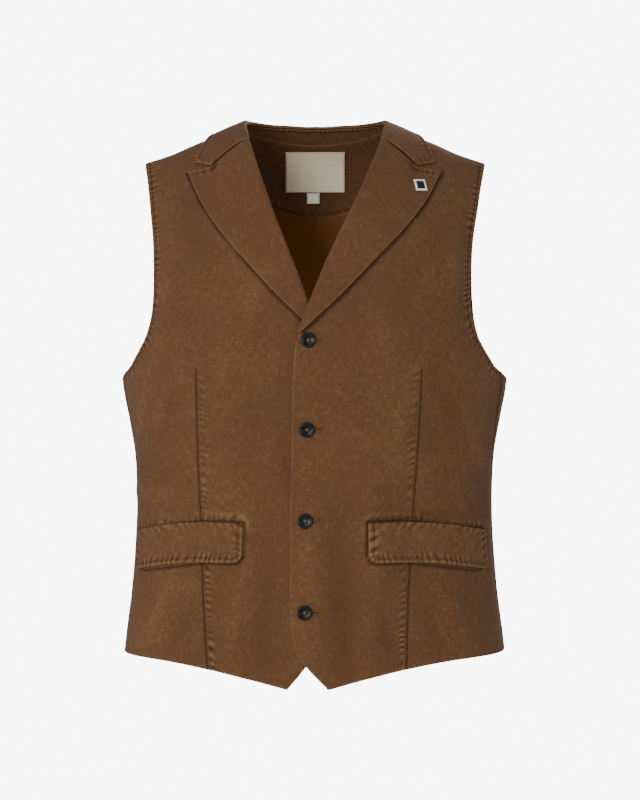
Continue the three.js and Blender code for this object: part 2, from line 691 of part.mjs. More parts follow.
// The collar's leaf: from its fold down to its outer edge, on the shoulders and the back.
function collarLeaf() {
  const neck = edge(wholeCollar.map(({ x, y }) => [x, y]), overShoulder);
  const outer = edge(wholeCollar.map(({ edgeX, edgeY }) => [edgeX, edgeY]), overShoulder);
  const gorge = [GORGE.x, gorgeY];
  const notch = [NOTCH.x, onGarment("front", 0, NOTCH.x, NOTCH.z).y];
  const point = [COLLAR_POINT.x, gorgeStation.edgeY];
  const [gorgeSeam, notchSide] = [edge([gorge, notch], overShoulder), edge([notch, point], overShoulder)];
  const front = joined(gorgeSeam, notchSide, COLLAR_NOTCH_AT);
  const bend = (u, v) => {
    const [x, y] = front(u);
    const fade = (1 - clamp01(v / FRONT_FADE)) ** 2;
    const straight = [mix(gorge[0], point[0], u), mix(gorge[1], point[1], u) - GORGE_GAP];
    return [(x - straight[0]) * fade, (y - straight[1]) * fade];
  };
  const us = [...steps(5, 0, COLLAR_NOTCH_AT), ...steps(2, COLLAR_NOTCH_AT, 1).slice(1)];
  const base = spotsOf(
    steps(COLLAR_ROWS).map((v) =>
      us.map((u) => {
        const [[nearX, nearY], [farX, farY]] = [neck(v), outer(v)];
        const [[leftX, leftY], [rightX, rightY]] = [bend(u, v), bend(u, 1 - v)];
        return overShoulder([mix(nearX, farX, u) + leftX - rightX, mix(nearY, farY, u) + leftY + rightY]);
      }),
    ),
  );
  const laid = moved(base, (u) => LEAF + mix(ROLL_AIR, COLLAR_AIR, ease(u * 2)));
  const lifted = laid.map((row, j) => {
    const { inset, rise } = foldAt(j / COLLAR_ROWS);
    const towards = vec(row[0].at.x, row[0].at.y - NECK_CENTRE_Y, 0).normalize();
    return row.map(({ at }, i) => {
      const share = (1 - us[i]) ** LEAF_FADE;
      return at.clone().addScaledVector(towards, -inset * share).add(vec(0, 0, rise * share));
    });
  });
  const reach = (share) => {
    const full = clamp01(foldAt(share).rise / FULL_RISE);
    return mix(COLLAR_TURN_FRONT, COLLAR_TURN_BACK, full);
  };
  return withFold(spotsOf(lifted), () => COLLAR_RADIUS, reach);
}

// How far the fold stands from the neck seam at a share of the way round the collar.
const seamWalk = walkAlong(wholeCollar.map((row) => overShoulder([row.x, row.y])));
const seamLength = seamWalk[seamWalk.length - 1];
const seamShares = wholeCollar.map((row, i) => ({ ...row, share: seamWalk[i] / seamLength }));
const insetAt = smooth(seamShares, "share", "inset");
const riseAt = smooth(seamShares, "share", "rise");
const foldAt = (share) => ({ inset: insetAt(share), rise: riseAt(share) });

const COLLAR_RADIUS = LEAF + CLOTH / 2 + ROLL_AIR;

// The stand of the collar, round the back of the neck between the neck seam and the end of the fold.
function collarStand(collar) {
  const neck = edge(wholeCollar.map((row) => [row.x, row.y]), overShoulder);
  const seam = collar.map((_, j) => overShoulder(neck(j / COLLAR_ROWS)));
  const rows = [];
  for (let j = STAND_FROM; j <= COLLAR_ROWS - STAND_FROM; j += 1) {
    const [end, before] = [collar[j][0].at, collar[j][1].at];
    const down = end.clone().sub(before).normalize();
    const head = end.clone().addScaledVector(down, STAND_CLEAR);
    const along = seam[j + 1].clone().sub(seam[j - 1]).normalize();
    const out = seamOut(seam[j], along);
    const across = out.clone().cross(along).normalize();
    if (across.dot(head.clone().sub(seam[j])) < 0) across.negate();
    const foot = seam[j].clone().addScaledVector(out, -(CLOTH + LEAF) / 2);
    const upright = along.clone().cross(head.clone().sub(foot)).normalize();
    foot.addScaledVector(across, STAND_CLEAR + LEAF * Math.abs(upright.dot(across)));
    rows.push(steps(3).map((t) => foot.clone().lerp(head, t)));
  }
  return wall([moved(spotsOf(rows), () => LEAF)], LEAF);
}

// The garment's outward direction at a point of the neck seam.
function seamOut(at, along) {
  const outside = overShoulder([at.x + Math.sign(at.x || 1), at.y + 1]);
  const out = along.clone().cross(outside.sub(at)).normalize();
  return out.dot(at.clone().sub(CORE)) < 0 ? out.negate() : out;
}

// The back neck facing, between the neck seam and its lower arc, cut in one across the back.
function neckFacing() {
  const [left, right] = [1, -1].map((side) => drawnIn(backGrids(side).high, FACING_INSET));
  const grid = left.map((row, j) => {
    const middle = { at: row[0].at.clone().setX(0), out: row[0].out.clone().setX(0).normalize() };
    return [...right[j].slice(1).reverse(), middle, ...row.slice(1)];
  });
  return wall([moved(grid, () => -(CLOTH + LINING_AIR))], LINING, seamAxis);
}

// Half of the back's lining, from the armhole and the facing's arc down to the hem.
function backLining(side) {
  const { low, middle } = backGrids(side);
  const grids = [
    drawnIn(low, { end: LINING_INSET, below: 8 * LINING_INSET }),
    drawnIn(middle, { end: LINING_INSET, below: LINING_INSET }),
  ];
  return wall(grids.map((grid) => moved(grid, () => -(CLOTH + LINING_AIR))), LINING, seamAxis);
}

const flapTop = smooth(FLAP_LINES, "share", "top");
const flapBottom = smooth(FLAP_LINES, "share", "bottom");

// A pocket flap with rounded lower corners, sewn along its top.
function pocketFlap(side) {
  const place = ([girth, z]) => onGarment("front", side, atGirth(girth, z), z);
  const middleZ = flapTop(0.5);
  const girths = [girthOf(FLAP_INNER_X, middleZ), girthOf(FLAP_OUTER_X, middleZ)];
  const us = [0, 0.02, 0.06, ...steps(9, 0.15, 0.85), 0.94, 0.98, 1];
  const corner = (u) => {
    const fromEnd = Math.min(u, 1 - u) * FLAP_LENGTH;
    const short = Math.max(FLAP_CORNER - fromEnd, 0);
    return FLAP_CORNER - Math.sqrt(FLAP_CORNER ** 2 - short ** 2);
  };
  const grid = steps(5).map((v) =>
    us.map((u) => {
      const girth = mix(girths[0], girths[1], u);
      return place([girth, mix(flapBottom(u) + corner(u), flapTop(u), v)]);
    }),
  );
  return wall([moved(spotsOf(grid), (u, v) => FLAP + LAID_GAP + FLAP_FLARE * (1 - v) ** 2)], FLAP);
}

const wasm = await Module();
wasm.setup();

// A solid for cutting, from a closed geometry.
function solidOf(geometry) {
  const bare = geometry.clone();
  bare.deleteAttribute("normal");
  bare.deleteAttribute("uv");
  const merged = mergeVertices(bare, 1e-4);
  return new wasm.Manifold(
    new wasm.Mesh({
      numProp: 3,
      vertProperties: merged.getAttribute("position").array,
      triVerts: new Uint32Array(merged.index.array),
    }),
  );
}

// The geometry of a solid that was cut.
function geometryOf(solid) {
  const { vertProperties, triVerts } = solid.getMesh();
  const geometry = new THREE.BufferGeometry();
  geometry.setAttribute("position", new THREE.BufferAttribute(vertProperties, 3));
  geometry.setIndex(new THREE.BufferAttribute(triVerts, 1));
  geometry.computeVertexNormals();
  return geometry;
}

// A profile of radii and heights turned about the y axis.
function turned(profile, sides) {
  return new THREE.LatheGeometry(profile.map(([radius, height]) => new THREE.Vector2(radius, height)), sides);
}

// A four-hole button with a raised rim, lying on the plane y = 0.
function buttonGeometry() {
  const profile = [
    [0, 0],
    [BUTTON_R * 0.72, 0],
    [BUTTON_R, BUTTON_T * 0.4],
    [BUTTON_R * 0.96, BUTTON_T * 0.8],
    [BUTTON_R * 0.84, BUTTON_T],
    [BUTTON_R * 0.66, BUTTON_T * 0.72],
    [0, BUTTON_T * 0.62],
  ];
  const disc = turned(profile, BUTTON_SIDES);
  const drill = new THREE.CylinderGeometry(BUTTON_HOLE_R, BUTTON_HOLE_R, BUTTON_T * 4, 6);
  const quarter = Math.PI / 2;
  const drilled = [0.5, 1.5, 2.5, 3.5].reduce((solid, quarters) => {
    const [x, z] = [Math.cos(quarters * quarter), Math.sin(quarters * quarter)];
    const hole = drill.clone().translate(BUTTON_HOLE_OUT * x, 0, BUTTON_HOLE_OUT * z);
    return solid.subtract(solidOf(hole));
  }, solidOf(disc));
  return geometryOf(drilled);
}

// Stands a piece that was made on the plane y = 0 on the left front, off it by a distance.
function standOn(mesh, x, z, off, turn = 0) {
  const near = (dx, dz) => onGarment("front", 1, x + dx, z + dz);
  const across = near(STAND_SPAN, 0).sub(near(-STAND_SPAN, 0));
  const out = across.cross(near(0, STAND_SPAN).sub(near(0, -STAND_SPAN))).normalize();
  const level = vec(0, 0, 1).cross(out).normalize();
  const upright = new THREE.Matrix4().makeBasis(level, out, level.clone().cross(out));
  mesh.quaternion.setFromRotationMatrix(upright);
  mesh.rotateY(turn);
  mesh.position.copy(near(0, 0).addScaledVector(out, off));
}

// A square frame with a recess, lying on the plane y = 0.
function pinFrame() {
  const corner = PIN.side / Math.SQRT2;
  const recess = corner - PIN.rim * Math.SQRT2;
  const profile = [
    [0, 0],
    [corner, 0],
    [corner, PIN.thick * 0.8],
    [corner - PIN.bevel, PIN.thick],
    [recess, PIN.thick],
    [recess, PIN.thick - PIN.recess],
    [0, PIN.thick - PIN.recess],
  ];
  return turned(profile, 4);
}

// The plate that lies in the pin's recess.
function pinInlay() {
  const corner = PIN.side / Math.SQRT2 - (PIN.rim + SEAM_GAP) * Math.SQRT2;
  const floor = PIN.thick - PIN.recess + SEAM_GAP;
  const face = PIN.thick - PIN.sunk;
  const profile = [
    [0, floor],
    [corner, floor],
    [corner, face],
    [0, face],
  ];
  return turned(profile, 4);
}

// A woven label on the inside of the back, in a box of distances and heights.
function insideLabel({ left, right, bottom, top }, columns, rows, depth) {
  const grid = steps(rows, bottom, top).map((z) =>
    steps(columns, left, right).map((x) => onGarment("back", Math.sign(x) || 1, Math.abs(x), z)),
  );
  return wall([moved(spotsOf(grid), () => -depth)], LABEL);
}

for (const side of [1, -1]) {
  add(`front_${sideName(side)}`, frontPanel(side), "cloth");
  add(`back_${sideName(side)}`, backPanel(side), "cloth");
  add(`lapel_${sideName(side)}`, lapel(side), "cloth");
  add(`flap_${sideName(side)}`, pocketFlap(side), "cloth");
  add(`lining_${sideName(side)}`, backLining(side), "lining", { roughness: 0.45 });
}
const collar = collarLeaf();
add("collar", wall([collar], LEAF), "cloth");
add("collar_stand", collarStand(collar), "facing");
add("neck_facing", neckFacing(), "facing");

const labelDepth = CLOTH + LINING_AIR + LINING + LABEL_AIR;
add("neck_label", insideLabel(LABEL_BOX, 6, 4, labelDepth), "label");
add("size_tag", insideLabel(TAG_BOX, 2, 2, labelDepth), "label");

const button = buttonGeometry();
BUTTON_Z.forEach((z, i) => {
  const mesh = add(`button_${i + 1}`, button, "horn", { roughness: 0.35 });
  standOn(mesh, 0, z, SEAM_GAP);
});

const pinOff = LEAF + LAID_GAP + SEAM_GAP * 2;
const squareUp = Math.PI / 4 + PIN.turn;
const pins = { pin_frame: [pinFrame(), "enamel"], pin_inlay: [pinInlay(), "inlay"] };
for (const [name, [geometry, colour]] of Object.entries(pins)) {
  standOn(add(name, geometry, colour, { roughness: 0.3 }), PIN.x, PIN.z, pinOff, squareUp);
}

export default group;
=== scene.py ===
"""Looks of a worn, garment-dyed suit waistcoat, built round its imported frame.

Tables and sizes are in millimetres, as on a cutting table, and a finished mesh is turned to metres
once. +Z is up, the closure faces -Y and the wearer's left side is at +X.
"""

from __future__ import annotations

import logging
import math
from dataclasses import dataclass, field
from enum import Enum
from typing import Any, Callable, Iterable, NamedTuple, Sequence

import bpy
import numpy as np
from mathutils import Matrix, Vector
from mathutils.bvhtree import BVHTree
from mathutils.kdtree import KDTree


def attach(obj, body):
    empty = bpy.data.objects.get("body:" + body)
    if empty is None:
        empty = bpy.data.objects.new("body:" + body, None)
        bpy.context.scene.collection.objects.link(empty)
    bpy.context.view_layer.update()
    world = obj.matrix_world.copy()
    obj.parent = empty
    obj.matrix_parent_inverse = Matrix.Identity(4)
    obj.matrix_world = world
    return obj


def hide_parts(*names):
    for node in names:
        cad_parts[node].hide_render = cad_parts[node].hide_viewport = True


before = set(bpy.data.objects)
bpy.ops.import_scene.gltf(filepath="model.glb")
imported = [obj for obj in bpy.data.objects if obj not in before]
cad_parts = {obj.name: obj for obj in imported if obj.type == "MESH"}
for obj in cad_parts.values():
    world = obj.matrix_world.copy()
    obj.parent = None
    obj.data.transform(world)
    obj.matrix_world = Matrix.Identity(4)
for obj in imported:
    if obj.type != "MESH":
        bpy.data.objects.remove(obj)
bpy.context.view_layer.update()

LOG = logging.getLogger("waistcoat")
MM = 0.001
BODY = "root"
TINY = 1e-12
UP = np.array([0, 0, 1.0])
NOISE_CELLS = 64

Curve = Callable[[np.ndarray], np.ndarray]
Place = Callable[[np.ndarray], np.ndarray]
Relief = Callable[[np.ndarray], np.ndarray]


def table_of(kind: Callable[..., Any], *values: Sequence[float]) -> tuple[Any, ...]:
    """A table whose rows are all of one kind."""
    return tuple(kind(*row) for row in values)


class Face(Enum):
    """The half of the body that a panel lies on."""

    FRONT = "front"
    BACK = "back"


class Side(Enum):
    """The wearer's side that a piece is cut for."""

    LEFT = 1
    RIGHT = -1

    @property
    def word(self) -> str:
        """The side's name as it stands in a node's name."""
        return self.name.lower()

    def of(self, pair: tuple[Any, Any]) -> Any:
        """This side's one of a pair that names the left first."""
        return pair[0] if self is Side.LEFT else pair[1]


def ease(t: np.ndarray) -> np.ndarray:
    """A smooth step from 0 to 1."""
    held = np.clip(t, 0, 1)
    return held * held * (3 - 2 * held)


def mix(a: Any, b: Any, t: Any) -> Any:
    """The value a share t of the way from a to b."""
    return a + (b - a) * t


def unit(vectors: np.ndarray) -> np.ndarray:
    """Vectors at length 1."""
    return vectors / np.maximum(np.linalg.norm(vectors, axis=-1, keepdims=True), TINY)


def hermite(at: Sequence[float], value: Sequence[float]) -> Curve:
    """A smooth function through values at rising places.

    Args:
        at: The places.
        value: The value at each.
    Returns:
        The function, which holds its end values outside the places.
    """
    x, y = np.asarray(at, float), np.asarray(value, float)
    low = np.maximum(np.arange(len(x)) - 1, 0)
    high = np.minimum(np.arange(len(x)) + 1, len(x) - 1)
    slope = (y[high] - y[low]) / (x[high] - x[low])

    def curve(where: np.ndarray) -> np.ndarray:
        """The function's value at each place."""
        i = np.clip(np.searchsorted(x, where, side="right") - 1, 0, len(x) - 2)
        span = x[i + 1] - x[i]
        t = np.clip((where - x[i]) / span, 0, 1)
        rest = 1 - t
        ends = y[i] * rest * rest * (1 + 2 * t) + y[i + 1] * t * t * (3 - 2 * t)
        return ends + span * t * rest * (slope[i] * rest - slope[i + 1] * t)

    return curve


def smooth(rows: Sequence[Any], by: str, column: str) -> Curve:
    """A smooth function through one column of a table whose rows rise in another column."""
    return hermite([getattr(row, by) for row in rows], [getattr(row, column) for row in rows])


def walked(points: np.ndarray) -> np.ndarray:
    """Length walked along a row of points, up to each of them."""
    steps = np.linalg.norm(np.diff(points, axis=0), axis=1)
    return np.concatenate([[0.0], np.cumsum(steps)])


def points_at(points: np.ndarray, lengths: np.ndarray, where: np.ndarray) -> np.ndarray:
    """Points at lengths along a row of points whose own lengths are known."""
    return np.stack([np.interp(where, lengths, points[:, k]) for k in range(3)], -1)


def soft_noise(a: np.ndarray, b: np.ndarray, pitch: float, seed: int) -> np.ndarray:
    """Smooth random hills and hollows, from -1 to 1.

    Args:
        a: First coordinate.
        b: Second coordinate.
        pitch: Distance from one hill to the next.
        seed: Which hills.
    Returns:
        The height at each place.
    """
    table = np.random.RandomState(seed).uniform(-1, 1, (NOISE_CELLS, NOISE_CELLS))
    p, q = a / pitch, b / pitch
    i, j = np.floor(p).astype(int), np.floor(q).astype(int)
    s, t = ease(p - i), ease(q - j)
    steps = ((0, 0), (1, 0), (0, 1), (1, 1))
    corner = [table[(i + di) % NOISE_CELLS, (j + dj) % NOISE_CELLS] for di, dj in steps]
    return mix(mix(corner[0], corner[1], s), mix(corner[2], corner[3], s), t)


@dataclass(frozen=True)
class Section:
    """A level section: half the width, and the front's and the back's depth."""

    z: float
    half: float
    front: float
    back: float


@dataclass(frozen=True)
class Fold:
    """A soft ridge, or a trough where deep is negative, leaning by lean across for each mm up."""

    x: float
    z: float
    across: float
    along: float
    lean: float
    deep: float


class Drop(NamedTuple):
    """A height at a distance from the middle."""

    x: float
    z: float


class Seen(NamedTuple):
    """A point seen from above."""

    x: float
    y: float


@dataclass(frozen=True)
class Overlap:
    """How far the left front lies out and the right one in, at a height."""

    z: float
    left: float
    right: float


FRONT_FOLDS = table_of(
    Fold,
    (31, -386, 22, 105, -0.12, -2.4), (40, -518, 26, 45, 0, -2), (-52, -514, 18, 62, 0, -2.6),
    (-160, -500, 14, 48, 0.41, 2.2), (152, -330, 18, 60, -0.2, -1.6), (-154, -140, 16, 80, 0, 1.4),
    (108, -165, 18, 60, 0.25, -1.5),
)
BACK_FOLDS = table_of(
    Fold,
    (62, -400, 20, 95, -0.1, -3), (-58, -412, 22, 85, 0.08, -2.6), (132, -350, 18, 75, -0.25, 2.2),
    (-135, -372, 18, 70, 0.2, 2),
)

# The finer creases, which only the cloth shells have
FRONT_CREASES = table_of(
    Fold,
    (-8, -495, 17, 125, 0, 2.4), (-50, -505, 13, 85, 0.02, -2.2), (32, -500, 13, 90, -0.06, -2.4),
    (-128, -85, 13, 60, -0.15, -1.8), (-168, -200, 9, 55, 0.1, 1.6), (-168, -505, 6, 42, 0.375, 1.8),
    (-31, -257, 7, 26, 0.05, -1.5), (-30, -345, 8, 34, -0.04, -1.7), (-76, -470, 12, 60, 0.1, 1.3),
    (-90, -540, 11, 34, 0.15, 1.2), (-135, -394, 40, 5, 0, -1.0), (-178, -378, 30, 6, 0, 1.2),
    (-128, -290, 9, 30, -0.35, 1.2), (-170, -300, 8, 32, 0.3, 1.5), (-186, -285, 5, 30, 0.1, 1.9),
    (-140, -520, 8, 30, 0.5, -2.1), (-60, -170, 12, 40, 0.3, 1.0), (-140, -95, 9, 36, -0.1, -1.4),
    (62, -440, 12, 60, -0.06, 2.2), (78, -530, 10, 36, -0.15, -2.1), (120, -404, 48, 5, 0, -1.5),
    (96, -300, 12, 46, 0.2, 1.4), (140, -275, 10, 32, -0.4, -1.4), (172, -322, 8, 38, -0.25, 1.5),
    (150, -505, 12, 40, -0.35, 1.6), (128, -530, 8, 26, -0.4, -1.5), (70, -205, 12, 40, -0.3, 0.8),
    (150, -120, 9, 42, 0.1, 1.5), (162, -190, 7, 28, -0.1, -1.4), (-108, -340, 14, 16, 1.1, 0.8),
    (50, -320, 14, 18, -1.0, 0.8),
)
BACK_CREASES = table_of(
    Fold,
    (20, -300, 10, 60, 0.05, -1.6), (-24, -330, 11, 70, -0.06, 1.8), (95, -300, 10, 50, 0.3, 1.6),
    (-98, -285, 10, 46, -0.28, 1.6), (150, -250, 8, 36, 0.5, -1.4), (-152, -262, 9, 40, -0.5, -1.6),
    (100, -470, 12, 50, 0.15, -1.9), (-96, -486, 13, 44, -0.12, -1.8), (30, -500, 10, 46, 0, 1.4),
    (-150, -460, 10, 44, -0.3, 1.6), (158, -440, 10, 50, 0.25, 1.6), (70, -160, 30, 9, 0.2, -1.1),
    (-66, -172, 34, 8, -0.2, -1.1), (120, -110, 10, 30, 0.4, -1.1), (-124, -120, 10, 34, -0.4, -1.3),
)


def folds_lift(folds: Iterable[Fold], x: np.ndarray, z: np.ndarray) -> np.ndarray:
    """How far a table of folds moves a panel out at each point of it."""
    lift = np.zeros(np.broadcast(x, z).shape)
    for fold in folds:
        up = (z - fold.z) / fold.along
        over = (x - fold.x - fold.lean * (z - fold.z)) / fold.across
        lift = lift + fold.deep * np.exp(-up * up - over * over)
    return lift


@dataclass
class BodyForm:
    """The garment's outer face, filled out as if worn."""

    section_power: float = 2.3
    shoulder_power: float = 1.8
    shoulder_reach: float = 150
    core: tuple[float, float, float] = (0, 0, -250)
    overlap_near: float = 20
    overlap_far: float = 78
    side_fade: float = 3
    shoulder_rounds: int = 12
    rough_mm: tuple[float, float] = (26, 13)
    rough_share: float = 0.5
    rough_stretch: float = 0.55
    rough_skew: float = 0.4
    sections: tuple[Section, ...] = table_of(
        Section,
        (-620, 213, 118, 116), (-553, 208.5, 117, 111), (-480, 199.5, 114, 100), (-400, 194.5, 112, 90),
        (-340, 196.5, 113.5, 89), (-300, 203, 115.5, 93), (-258, 210.5, 118, 99),
        (-242, 207, 118.5, 101), (-227, 203, 119, 103), (-212, 198.5, 119, 105),
        (-182, 193.5, 119, 108), (-137, 193, 118, 111), (-75, 195, 116, 114), (-20, 197, 116, 133),
        (8, 198, 116, 149), (60, 200, 116, 160),
    )
    shoulders: tuple[Drop, ...] = table_of(
        Drop,
        (0, 36), (42, 33.5), (82, 22.5), (116, 8), (136, 0), (155, -8.6), (170, -14), (187, -19.5),
    )
    closure: tuple[Drop, ...] = table_of(
        Drop,
        (-7.5, -590), (-9.5, -561), (-11, -505), (-10.5, -408), (-8.5, -311), (-7, -208), (-6, -137),
        (-3, -60), (0, 10),
    )
    overlaps: tuple[Overlap, ...] = table_of(
        Overlap,
        (-590, 1.2, 1.2), (-300, 1.2, 1.2), (-240, 2.2, 1.6), (-190, 3.2, 2.2), (-140, 1.6, 1),
        (-70, 0, 0), (0, 0, 0),
    )

    def __post_init__(self) -> None:
        """Makes the smooth curves through the tables."""
        self.half = smooth(self.sections, "z", "half")
        self.depth = {face: smooth(self.sections, "z", face.value) for face in Face}
        self.shoulder = smooth(self.shoulders, "x", "z")
        self.shift = smooth(self.closure, "z", "x")
        self.lies_out = smooth(self.overlaps, "z", "left")
        self.lies_in = smooth(self.overlaps, "z", "right")
        self.folds = {Face.FRONT: FRONT_FOLDS, Face.BACK: BACK_FOLDS}
        self.creases = {Face.FRONT: FRONT_CREASES, Face.BACK: BACK_CREASES}

    def section_share(self, x: np.ndarray, z: np.ndarray) -> np.ndarray:
        """Share of a section's depth at a distance from the middle."""
        out = np.minimum(np.abs(x) / self.half(z), 1) ** self.section_power
        return (1 - out) ** (1 / self.section_power)

    def shoulder_turn(self, below: np.ndarray) -> np.ndarray:
        """Share of the depth that cloth has at a height below the shoulder line."""
        rest = 1 - np.clip(below / self.shoulder_reach, 0, 1)
        return (1 - rest**self.shoulder_power) ** (1 / self.shoulder_power)

    def point(self, face: Face, side: Side, x: np.ndarray, z: np.ndarray) -> np.ndarray:
        """Points of the outer face.

        Args:
            face: Front or back.
            side: The side that x counts towards.
            x: Distances from the middle.
            z: Heights.
        Returns:
            The points, one row of three for each distance and height.
        """
        x, z = np.broadcast_arrays(np.asarray(x, float), np.asarray(z, float))
        share = self.section_share(x, z) * self.shoulder_turn(self.shoulder(np.abs(x)) - z)
        soft = np.minimum(share * self.side_fade, 1)
        world_x = side.value * x
        depth = self.depth[face](z) * share + soft * folds_lift(self.folds[face], world_x, z)
        if face is Face.BACK:
            return np.stack([world_x, depth, z], -1)
        reach = (np.abs(x) - self.overlap_near) / (self.overlap_far - self.overlap_near)
        lap = self.lies_out(z) if side is Side.LEFT else -self.lies_in(z)
        over = (1 - ease(reach)) * lap
        return np.stack([world_x + self.shift(z) * share, -depth - over, z], -1)

    def shoulder_height(self, face: Face, x: np.ndarray, y: np.ndarray) -> np.ndarray:
        """Height of the outer face near the shoulder, above points seen from above."""
        z = self.shoulder(np.abs(x))
        for _ in range(self.shoulder_rounds):
            share = np.minimum(np.abs(y) / (self.depth[face](z) * self.section_share(x, z)), 1)
            below = 1 - (1 - share**self.shoulder_power) ** (1 / self.shoulder_power)
            z = self.shoulder(np.abs(x)) - self.shoulder_reach * below
        return z

    def over_shoulder(self, seen: np.ndarray) -> np.ndarray:
        """Points of the outer face near the neck, from points seen from above."""
        x, y = seen[..., 0], seen[..., 1]
        found = np.zeros(seen.shape[:-1] + (3,))
        for face, part in ((Face.FRONT, y < 0), (Face.BACK, y >= 0)):
            z = self.shoulder_height(face, x, y)
            for side, on in ((Side.LEFT, x >= 0), (Side.RIGHT, x < 0)):
                spot = self.point(face, side, np.abs(x), z)
                spot[..., 1] = y
                found = np.where((part & on)[..., None], spot, found)
        return found

    def girth_of(self, x: np.ndarray, z: np.ndarray) -> np.ndarray:
        """Girth share, 0 at the middle and 1 at the side seam's plane, of distances."""
        share = np.minimum(np.abs(x) / self.half(z), 1)
        return np.sign(x) * 2 * np.arcsin(share ** (self.section_power / 2)) / math.pi

    def at_girth(self, girth: np.ndarray, z: np.ndarray) -> np.ndarray:
        """Distances from the middle at girth shares."""
        turn = np.sin(np.abs(girth) * math.pi / 2)
        return np.sign(girth) * self.half(z) * turn ** (2 / self.section_power)

    def seam_girth(self, face: Face, z: np.ndarray, gap: float) -> np.ndarray:
        """Girth share of the side seam, half a gap short of its plane."""
        share = gap / 2 / self.depth[face](z)
        return 2 * np.arccos(share ** (self.section_power / 2)) / math.pi

    def by_girth(self, face: Face, side: Side) -> Place:
        """The map of girth share and height for one half panel."""
        return lambda at: self.point(face, side, self.at_girth(at[..., 0], at[..., 1]), at[..., 1])

    def by_distance(self, face: Face, side: Side) -> Place:
        """The map of distance and height for one half panel."""
        return lambda at: self.point(face, side, at[..., 0], at[..., 1])

    def creased(self, face: Face, rough: float, seed: int) -> Relief:
        """The finer creases of a face, with a washed cloth's small unevenness.

        Args:
            face: Front or back.
            rough: Height of the unevenness.
            seed: Which unevenness.
        Returns:
            The lift for points of the face.
        """

        def lift(at: np.ndarray) -> np.ndarray:
            """How far each point lies out."""
            x, z = at[:, 0], at[:, 2]
            wide = soft_noise(x, z * self.rough_stretch, self.rough_mm[0], seed)
            narrow = soft_noise(x + self.rough_skew * z, z, self.rough_mm[1], seed + 1)
            return folds_lift(self.creases[face], x, z) + rough * (wide + self.rough_share * narrow)

        return lift


# Samples along an edge, the steps that a slope is read over, in girth share and in millimetres, and
# how fast a grid's steps grow away from a stop
EDGE_STEPS = 320
ACROSS_STEP = 1e-3
DOWN_STEP = 0.05
STEP_GROWTH = 0.22


class Edge:
    """An even walk along a smooth curve through stations of a flat map."""

    def __init__(self, stations: Sequence[Sequence[float]], place: Place) -> None:
        """Measures the curve as the cloth's own length.

        Args:
            stations: Points of the map.
            place: The map.
        """
        fixed = np.array(stations, float)
        knots = walked(place(fixed))
        self.curves = [hermite(knots, fixed[:, k]) for k in (0, 1)]
        self.fine = np.linspace(0, knots[-1], EDGE_STEPS + 1)
        self.walk = walked(place(self.on(self.fine)))

    def on(self, at: np.ndarray) -> np.ndarray:
        """Map points at places along the stations."""
        return np.stack([curve(at) for curve in self.curves], -1)

    def __call__(self, share: np.ndarray) -> np.ndarray:
        """Map points at shares of the cloth's length."""
        goal = np.clip(share, 0, 1) * self.walk[-1]
        return self.on(np.interp(goal, self.walk, self.fine))


def joined(first: Curve, second: Curve, at: float) -> Curve:
    """Two edges walked one after the other, the second from a share on."""

    def walk(share: np.ndarray) -> np.ndarray:
        """Map points at shares of both edges."""
        early = np.asarray(share)[..., None] <= at + TINY
        return np.where(early, first(share / at), second((share - at) / (1 - at)))

    return walk


def fitted(width: float, stops: Sequence[float], fine: float, coarse: float) -> np.ndarray:
    """Shares of a width whose steps are fine at its ends and stops and coarse between.

    Args:
        width: The whole width.
        stops: Places that a step ends on.
        fine: The step there.
        coarse: The widest step.
    Returns:
        Shares from 0 to 1.
    """
    marks = sorted({0.0, width, *stops})
    found = [0.0]
    for start, end in zip(marks, marks[1:]):
        walk = [start]
        while walk[-1] < end:
            reach = min(abs(walk[-1] - mark) for mark in marks)
            walk.append(walk[-1] + min(fine + STEP_GROWTH * reach, coarse))
        scale = (end - start) / (walk[-1] - start)
        found.extend(start + (place - start) * scale for place in walk[1:])
    return np.array(found) / width


def nearest_column(places: np.ndarray, place: float) -> int:
    """Which of a row of places lies nearest to one."""
    return int(np.argmin(np.abs(places - place)))


@dataclass
class Spots:
    """A grid of points of a surface with its outward directions, row by row up the cloth."""

    at: np.ndarray
    out: np.ndarray

    def moved(self, distance: np.ndarray | float) -> Spots:
        """The grid moved out by distances."""
        by = np.broadcast_to(np.asarray(distance, float), self.at.shape[:2])
        return Spots(self.at + self.out * by[..., None], self.out)

    def cloth(self) -> np.ndarray:
        """Each point's place on the flat cloth: across from the middle column, and up."""
        across = np.stack([walked(row) for row in self.at])
        across -= across[:, across.shape[1] // 2][:, None]
        up = np.stack([walked(column) for column in self.at.swapaxes(0, 1)], 1)
        return np.stack([across, up + self.at[0, :, 2][None, :]], -1)

    def lengths(self) -> tuple[float, float]:
        """The longest row and the longest column."""
        rows = max(walked(row)[-1] for row in self.at)
        return rows, max(walked(column)[-1] for column in self.at.swapaxes(0, 1))

    def area(self) -> float:
        """The cloth's area."""
        p = self.at
        diagonals = np.cross(p[1:, 1:] - p[:-1, :-1], p[1:, :-1] - p[:-1, 1:])
        return float(np.linalg.norm(diagonals, axis=-1).sum() / 2)


@dataclass
class Patch:
    """A piece of the map inside four edges."""

    bottom: Curve
    top: Curve
    left: Curve
    right: Curve

    def inside(self, us: np.ndarray, vs: np.ndarray) -> np.ndarray:
        """Map points at v up and u across, where u is one row of shares or one for each v."""
        u, v = np.broadcast_to(us, (len(vs), np.shape(us)[-1]))[..., None], vs[:, None, None]
        ends = np.array([0.0, 1.0])
        (bl, br), (tl, tr) = self.bottom(ends), self.top(ends)
        rows = mix(self.bottom(u[..., 0]), self.top(u[..., 0]), v)
        columns = mix(self.left(vs)[:, None], self.right(vs)[:, None], u)
        corners = mix(mix(bl, br, u), mix(tl, tr, u), v)
        return rows + columns - corners


